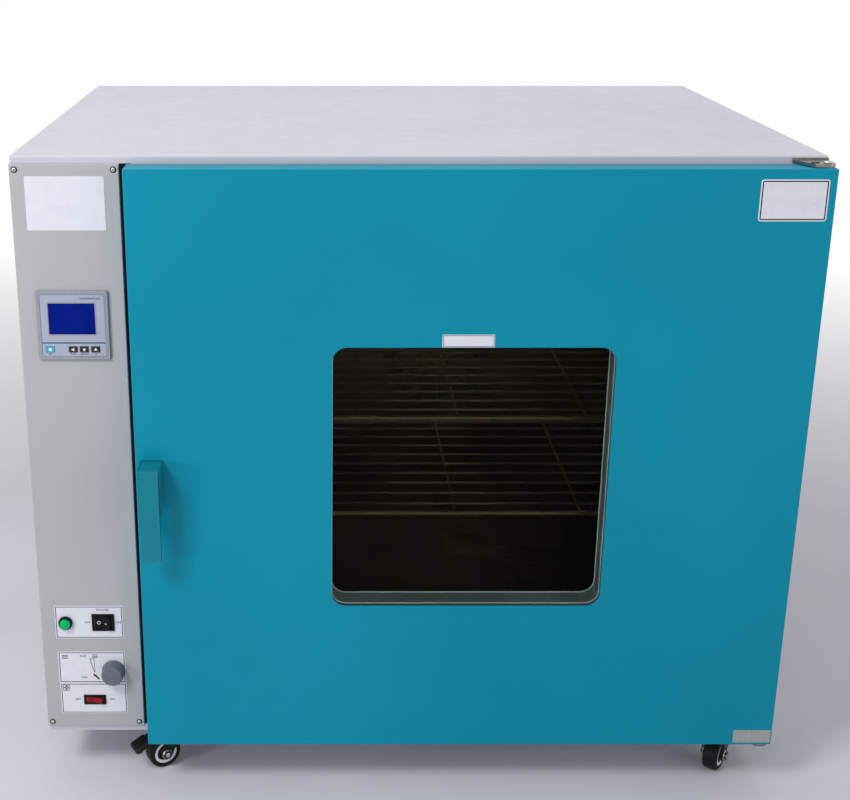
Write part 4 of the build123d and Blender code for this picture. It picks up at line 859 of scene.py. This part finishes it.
def make_knob():
    """Fluted skirt with a lighter dished cap and a pointer line."""
    low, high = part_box("speed_knob")
    x, z = middle("speed_knob")
    base_y = panel_face - 0.001
    height = base_y - low.y
    wide, narrow = 0.0169, 0.0152
    flutes = 26
    profile = [
        (0.0095, 0.0), (wide, 0.0), (wide, height * 0.12), (wide - 0.0004, height * 0.17),
        (narrow + 0.0006, height * 0.80), (narrow, height * 0.90), (narrow - 0.0012, height * 0.985),
        (narrow - 0.0024, height), (0.0, height),
    ]
    flute_depth = {3: 0.0007, 4: 0.0007, 5: 0.0005}

    def flute(number, turn):
        return -flute_depth.get(number, 0.0) * (0.5 + 0.5 * cos(flutes * turn))

    skirt = turned(profile, facing_front(x, base_y, z), 8 * flutes, False, flute)
    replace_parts(piece("knob_skirt", skirt, "speed_knob", knob_grey), "speed_knob")
    cap_y = low.y + 0.0002
    cap_r = narrow - 0.003
    cap = [(cap_r, -0.0004), (cap_r, 0.0), (cap_r - 0.0006, 0.0002), (0.0, 0.00005)]
    piece(
        "knob_cap", turned(cap, facing_front(x, cap_y, z)), "speed_knob",
        knob_cap_grey, True,
    )
    left, right = x - 0.0006, x + 0.0006
    foot, top = z + 0.004, z + cap_r - 0.0008
    pointer = [(left, foot), (right, foot), (right, top), (left, top)]
    printed("knob_pointer", front_slab([pointer], cap_y, ink), "speed_knob")
    shaft_r, shaft_l = 0.003, high.y - base_y
    shaft = turned(
        [(0.0, 0.0), (shaft_r, 0.0), (shaft_r, shaft_l), (0.0, shaft_l)], facing_front(x, high.y, z), 24
    )
    piece("knob_shaft", shaft, "speed_knob", zinc, True)


def make_panel_screws():
    """Pan head screws with a cross recess, each on a black washer."""
    low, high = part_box("panel_screws")
    washer_r, washer_h = 0.0042, 0.0007
    washer_edge = 0.0004
    head_r, head_foot, head_side, head_round, head_dome = 0.0029, 0.0006, 0.0010, 0.0014, 0.0011
    head_top = head_side + head_dome
    cross_depth = 0.00007
    arm, half = 0.0015, 0.00032
    places = [
        (x, z)
        for x in (low.x + washer_r, high.x - washer_r)
        for z in (low.z + washer_r, high.z - washer_r)
    ]
    washer = [
        (0.0, 0.0), (washer_r, 0.0), (washer_r, washer_edge), (washer_r - washer_edge, washer_h),
        (0.0, washer_h),
    ]
    head = [(0.0, head_foot), (head_r, head_foot), (head_r, head_side)]
    for step in range(1, 7):
        turn = radians(15 * step)
        head.append((head_r - head_round + head_round * cos(turn), head_side + head_dome * sin(turn)))
    head.append((0.0, head_top))
    for number, (x, z) in enumerate(places):
        place = facing_front(x, panel_face, z)
        made = piece(
            f"panel_washer_{number}", turned(washer, place, 32), "cabinet", moulded_black, True
        )
        if number == 0:
            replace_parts(made, "panel_screws")
        piece(f"panel_screw_{number}", turned(head, place, 32), "cabinet", zinc, True)
        cross = []
        for turn in range(4):
            for across, out in ((-half, half), (-half, arm), (half, arm)):
                for _ in range(turn):
                    across, out = out, -across
                cross.append((x + across, z + out))
        printed(
            f"panel_screw_cross_{number}",
            front_slab([cross], panel_face - head_top + 0.00004, cross_depth),
        )


def add_gap_shadow():
    """Painted shade: a black strip on the front frame, between the panel and the door, standing in for
    the shadow in the gap.
    """
    frame_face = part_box("front_frame")[0].y
    x0, z0 = panel_high.x + 0.0002, panel_low.z + 0.0005
    x1, z1 = door_low.x + 0.006, door_high.z
    outline = [(x0, z0), (x1, z0), (x1, z1), (x0, z1)]
    piece("gap_shadow_strip", front_slab([outline], frame_face, 0.0003), "cabinet", moulded_black)


make_lamp()
make_knob()
make_panel_screws()
add_gap_shadow()

# Casters. The joints say where each wheel and swivel turns.
joints = {joint["name"]: joint for joint in frame["joints"]}
corners = ("front_left", "front_right", "rear_left", "rear_right")


def joint_place(name):
    return Vector(joints[name]["pos_m"])


def joint_axis(name):
    return Vector(joints[name]["axis"]).normalized()


def arc_points(centre_r, centre_h, radius, start, end, steps=6):
    turns = [start + (end - start) * step / steps for step in range(steps + 1)]
    return [round_point(centre_r, centre_h, radius, turn) for turn in turns]


def make_wheel(corner):
    """Tyre with rolled shoulders on a dished disc with its hub, light rings in
    the dish, and a washer, a nut and a rounded bolt end on each side."""
    wheel, swivel = corner + "_wheel", corner + "_swivel"
    axis = joint_axis(wheel + "_roll")
    facing = axis.to_track_quat("Z", "X").to_matrix().to_4x4()
    place = Matrix.Translation(joint_place(wheel + "_roll")) @ facing
    half = 0.011
    tyre_r = 0.02498
    shoulder = 0.0042
    hub_h = half + 0.0012
    upper = (
        [(tyre_r, half - shoulder)]
        + arc_points(tyre_r - shoulder, half - shoulder, shoulder, 12, 90)
        + [(0.0184, half), (0.0180, half - 0.0004), (0.0180, half - 0.003), (0.0095, half - 0.0034)]
        + [(0.0090, half - 0.0028), (0.0090, half + 0.0011), (0.0086, hub_h), (0.00405, hub_h)]
    )
    lower = [(radius, -height) for radius, height in reversed(upper)]
    tyre = piece(
        corner + "_tyre", turned(upper + lower, place, 72, True), wheel, tread_black, True
    )
    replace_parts(tyre, wheel)
    ring = (
        (0.0131, half - 0.0031), (0.0176, half - 0.0031), (0.0177, half - 0.0012),
        (0.0170, half - 0.0006), (0.0139, half - 0.0006), (0.0131, half - 0.0012),
    )
    nut = ((0.0, 0.0188), (0.0058, 0.0188), (0.0066, 0.0182), (0.0066, 0.0150), (0.0, 0.0150))
    washer = ((0.0, 0.0160), (0.0077, 0.0160), (0.0077, 0.0151), (0.0, 0.0151))
    bolt_end = ((0.0, 0.0192), (0.0035, 0.0190), (0.0045, 0.0180), (0.0045, 0.0149), (0.0, 0.0149))

    def both(profile):
        return [(radius, side * height) for radius, height in profile]

    for side, word in ((1, "left"), (-1, "right")):
        piece(
            f"{corner}_ring_{word}", turned(both(ring), place, 72, True), wheel,
            ring_grey, True,
        )
        name = f"{corner}_axle_{word}"
        piece(name + "_nut", turned(both(nut), place, 6), swivel, zinc)
        piece(name + "_washer", turned(both(washer), place, 32), swivel, zinc, True)
        piece(name + "_end", turned(both(bolt_end), place, 32), swivel, zinc, True)


def make_pad(corner):
    """Ribbed rubber pad on the end of a brake pedal."""
    pedal = corner + "_pedal"
    side_axis = joint_axis(pedal + "_press")
    forward = side_axis.cross(Vector((0, 0, 1))).normalized()
    trail = joint_place(corner + "_wheel_roll") - joint_place(corner + "_swivel_turn")
    if forward.dot(trail) < 0:
        forward.negate()
    arm_l, arm_rise = 0.024, 0.00175
    toe_l, toe_drop = 0.030, 0.013
    knee = joint_place(pedal + "_press") + forward * arm_l + Vector((0, 0, arm_rise))
    tip = knee + forward * toe_l - Vector((0, 0, toe_drop))
    along = (tip - knee).normalized()
    up = side_axis.cross(along).normalized()
    if up.z < 0:
        up.negate()
    place = Matrix((along, side_axis, up)).transposed().to_4x4()
    place.translation = tip - along * 0.0085
    shape = bmesh.new()
    outline = [(-0.0105, -0.0030), (0.0155, -0.0036), (0.0155, 0.0060), (-0.0105, 0.0056)]
    profile_bar(shape, outline, place, 0.0272)
    softened(piece(corner + "_pad", shape, pedal, tread_black), 0.0052, 6)
    ribs = bmesh.new()
    foot, top = 0.0046, 0.0066
    foot_half, top_half = 0.0009, 0.0005
    for step in range(4):
        x = -0.0060 + 0.0042 * step
        rib = [(x - foot_half, foot), (x + foot_half, foot), (x + top_half, top), (x - top_half, top)]
        profile_bar(ribs, rib, place, 0.019)
    piece(corner + "_pad_ribs", ribs, pedal, tread_black)


def make_mount_bolts():
    """Hexagon heads under the four caster plates."""
    bolt_inset = 0.0205
    plate_under = 0.0735
    head = [(0.0, 0.0), (0.0046, 0.0), (0.0046, -0.0026), (0.0040, -0.0031), (0.0, -0.0031)]
    for corner in corners:
        x, y, _ = joint_place(corner + "_swivel_turn")
        shape = bmesh.new()
        for dx in (-bolt_inset, bolt_inset):
            for dy in (-bolt_inset, bolt_inset):
                place = Matrix.Translation((x + dx, y + dy, plate_under))
                take_in(shape, turned(head, place, 6))
        piece(corner + "_mount_bolts", shape, "cabinet", zinc)


for corner in corners:
    make_wheel(corner)
for corner in ("front_left", "rear_right"):
    make_pad(corner)
make_mount_bolts()


# Wire shelves
def make_shelf(name):
    """Round bars: a closed rim, long wires across it and three cross wires."""
    low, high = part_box(name)
    rim_r, wire_r, corner_r = 0.004, 0.002, 0.020
    wires = 9
    z = high.z - rim_r
    outline = rounded(low.x + rim_r, low.y + rim_r, high.x - rim_r, high.y - rim_r, corner_r, 8)
    shape = bmesh.new()
    tube(shape, [Vector((x, y, z)) for x, y in outline], rim_r * 0.98, 16, True)
    depth = high.y - low.y
    for wire in range(wires):
        y = low.y + depth * (wire + 1) / (wires + 1)
        tube(shape, [Vector((low.x + rim_r, y, z)), Vector((high.x - rim_r, y, z))], wire_r, 12)
    for share in (-0.25, 0.0, 0.25):
        x = (low.x + high.x) / 2 + share * (high.x - low.x)
        under = z - 1.5 * wire_r
        tube(shape, [Vector((x, low.y + rim_r, under)), Vector((x, high.y - rim_r, under))], wire_r, 12)
    made = piece(name + "_wires", shape, name, shelf_steel_painted_light, True)
    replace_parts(made, name)


make_shelf("lower_shelf")
make_shelf("upper_shelf")


def make_hinge_details():
    """The pin's rolled head, and black ink on the upper hinge plate as painted shade for its slot."""
    x, y, _ = joint_place("door_hinge")
    bush_gap, plate_t = 0.0017, 0.004
    top = door_high.z + bush_gap + plate_t
    head = turned(
        [(0.0041, -0.0002), (0.0056, 0.0), (0.0058, 0.0006), (0.0050, 0.0013), (0.0, 0.0016)],
        Matrix.Translation((x, y, top)), 32,
    )
    piece("hinge_pin_head", head, "cabinet", zinc, True)
    slot_r, slot_x0, slot_x1 = 0.0024, x - 0.0215, x - 0.0105
    # Painted shade: a thin black film over the slot's outline.
    shape = bmesh.new()
    slot = rounded(slot_x0, y - slot_r, slot_x1, y + slot_r, slot_r, 6)
    face = shape.faces.new([shape.verts.new((*point, top + 0.00005)) for point in slot])
    pulled(shape, [face], (0, 0, -0.0004))
    printed("hinge_slot_shade", shape)


make_hinge_details()


# Back and sides
def make_rear_details():
    """Screws round the rear cover, and four on the exhaust's flange."""
    low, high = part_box("rear_cover")
    facing_back = Matrix.Rotation(radians(-90), 4, "X")
    screw_inset = 0.012
    flange_t = 0.002
    flange_screw_r = 0.0325
    x0, x1 = low.x + screw_inset, high.x - screw_inset
    z0, z1 = low.z + screw_inset, high.z - screw_inset
    places = [(x, high.y, z) for x in (x0, -0.26, 0.0, 0.26, x1) for z in (z0, z1)]
    places += [(x, high.y, z) for x in (x0, x1) for z in (0.30, 0.50, 0.70)]
    vent_x, vent_z = middle("exhaust_spigot")
    for turn in (45, 135, 225, 315):
        x, z = round_point(vent_x, vent_z, flange_screw_r, turn)
        places.append((x, high.y + flange_t, z))
    head = [
        (0.0, 0.0), (0.0038, 0.0), (0.0038, 0.0008), (0.0030, 0.0018), (0.0013, 0.0021),
        (0.0013, 0.0012), (0.0, 0.0012),
    ]
    screws = bmesh.new()
    for place in places:
        take_in(screws, turned(head, Matrix.Translation(place) @ facing_back, 24))
    piece("rear_screws", screws, "cabinet", zinc, True)


def louvre_hoods(name, middles, outward):
    """Pressed hoods over the slots of a sheet. outward is the way they bulge."""
    pitch, count, length = 0.014, 6, 0.076
    bulge, drop, rise = 0.0046, 0.0055, -0.0026
    end_share = 0.16
    shape = bmesh.new()
    side = Vector((0, 0, 1)).cross(outward)
    for place in middles:
        for number in range(count):
            centre = Vector(place) + Vector((0, 0, (number - (count - 1) / 2) * pitch))
            rows = []
            for share in (0.0, 0.06, 0.16, 0.30, 0.70, 0.84, 0.94, 1.0):
                lift = min(1.0, max(0.0, min(share, 1 - share) / end_share)) ** 0.5
                row = []
                for angle in range(0, 91, 15):
                    turn = radians(angle)
                    row.append(shape.verts.new(
                        centre + side * ((share - 0.5) * length) + outward * (bulge * lift * sin(turn))
                        + Vector((0, 0, drop * cos(turn) + rise))
                    ))
                rows.append(row)
            for first, second in zip(rows, rows[1:]):
                for step in range(len(first) - 1):
                    shape.faces.new((first[step], first[step + 1], second[step + 1], second[step]))
    made = piece(name, shape, "cabinet", cover_paint, True)
    thicken = made.modifiers.new("sheet", "SOLIDIFY")
    thicken.thickness = 0.0008
    thicken.offset = 0.0


def make_hoods():
    """Hoods outward on the back, behind the fan, and inward on the left side."""
    spread = 0.070
    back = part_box("rear_cover")[1].y
    x, z = middle("fan_impeller")
    louvre_hoods("rear_louvres", [(x - spread, back, z), (x + spread, back, z)], Vector((0, 1, 0)))
    low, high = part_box("left_side_panel")
    sheet_t = 0.0012
    x = low.x + sheet_t
    y = (low.y + high.y) / 2
    z = (low.z + high.z) / 2 - (high.z - low.z) / 4
    louvre_hoods("side_louvres", [(x, y - spread, z), (x, y + spread, z)], Vector((1, 0, 0)))


make_rear_details()
make_hoods()


# Floor, lights and camera
def make_floor():
    made, tree, shader = new_material("pale_floor")
    result = made.node_tree.nodes["Material Output"]
    shader.inputs["Roughness"].default_value = 0.7
    place = tree.add("TexCoord").outputs["Object"]
    cloud = tree.noise(place, 3.0, 3.0)
    share = tree.spread(cloud, 0.3, 0.7)
    pale = tree.blend(share, paint(222, 221, 226), paint(216, 215, 221))
    tree.join(pale, shader.inputs["Base Color"])
    length = tree.add("VectorMath", operation="LENGTH")
    tree.join(place, length.inputs[0])
    far = tree.spread(length.outputs["Value"], 1.1, 3.2)
    seen = tree.seen_by("Is Camera Ray", "Is Glossy Ray")
    white = tree.add("Emission")
    white.inputs["Color"].default_value = (1.0, 1.0, 1.0, 1.0)
    mixed = tree.add("MixShader")
    tree.join(tree.sum("MULTIPLY", far, seen), mixed.inputs["Fac"])
    tree.join(shader.outputs["BSDF"], mixed.inputs[1])
    tree.join(white.outputs["Emission"], mixed.inputs[2])
    tree.join(mixed.outputs["Shader"], result.inputs["Surface"])
    return made


def lay_floor():
    reach = 8.0
    shape = bmesh.new()
    ways = ((-1, -1), (1, -1), (1, 1), (-1, 1))
    shape.faces.new([shape.verts.new((x * reach, y * reach, 0)) for x, y in ways])
    mesh = mesh_of("floor", shape)
    mesh.materials.append(make_floor())
    linked("floor", mesh)


def light_world():
    world = bpy.data.worlds.new("studio")
    bpy.context.scene.world = world
    world.use_nodes = True
    tree = Tree(world.node_tree)
    result = world.node_tree.nodes["World Output"]
    lamp = world.node_tree.nodes["Background"]
    tree.feed(lamp, {"Color": (0.93, 0.95, 1.0), "Strength": 0.4})
    white = tree.add("Background")
    tree.feed(white, {"Color": (1.0, 1.0, 1.0), "Strength": 1.0})
    seen = tree.seen_by("Is Camera Ray", "Is Glossy Ray", "Is Transmission Ray")
    mixed = tree.add("MixShader")
    tree.join(seen, mixed.inputs["Fac"])
    tree.join(lamp.outputs["Background"], mixed.inputs[1])
    tree.join(white.outputs["Background"], mixed.inputs[2])
    tree.join(mixed.outputs["Shader"], result.inputs["Surface"])


def soft_light(name, place, aim, size, power):
    lamp = bpy.data.lights.new(name, "AREA")
    lamp.shape = "RECTANGLE"
    lamp.size, lamp.size_y = size
    lamp.energy = power
    made = linked(name, lamp)
    made.location = place
    made.rotation_mode = "QUATERNION"
    made.rotation_quaternion = (Vector(aim) - Vector(place)).to_track_quat("-Z", "Y")


def set_camera():
    camera = bpy.data.cameras.new("camera")
    camera.sensor_width = 36.0
    camera.sensor_fit = "HORIZONTAL"
    camera.lens = camera_lens
    camera.shift_x, camera.shift_y = camera_shift
    camera.clip_start = 0.05
    camera.clip_end = 60.0
    made = linked("camera", camera)
    made.location = camera_at
    made.rotation_euler = (radians(camera_tilt), 0.0, 0.0)
    bpy.context.scene.camera = made


lay_floor()
light_world()
soft_light("key", (-1.5, -1.9, 2.5), (-0.2, -0.3, 0.6), (0.8, 0.8), 42.0)
soft_light("side", (-2.0, -1.7, 0.75), (-0.2, -0.4, 0.5), (0.35, 0.35), 9.0)
soft_light("fill", (2.4, -2.0, 1.4), (0.1, -0.2, 0.5), (2.0, 1.6), 13.0)
soft_light("top", (0.0, 0.5, 2.9), (0.0, 0.2, 0.9), (2.2, 1.4), 14.0)
set_camera()
bpy.context.scene.view_settings.view_transform = "Standard"
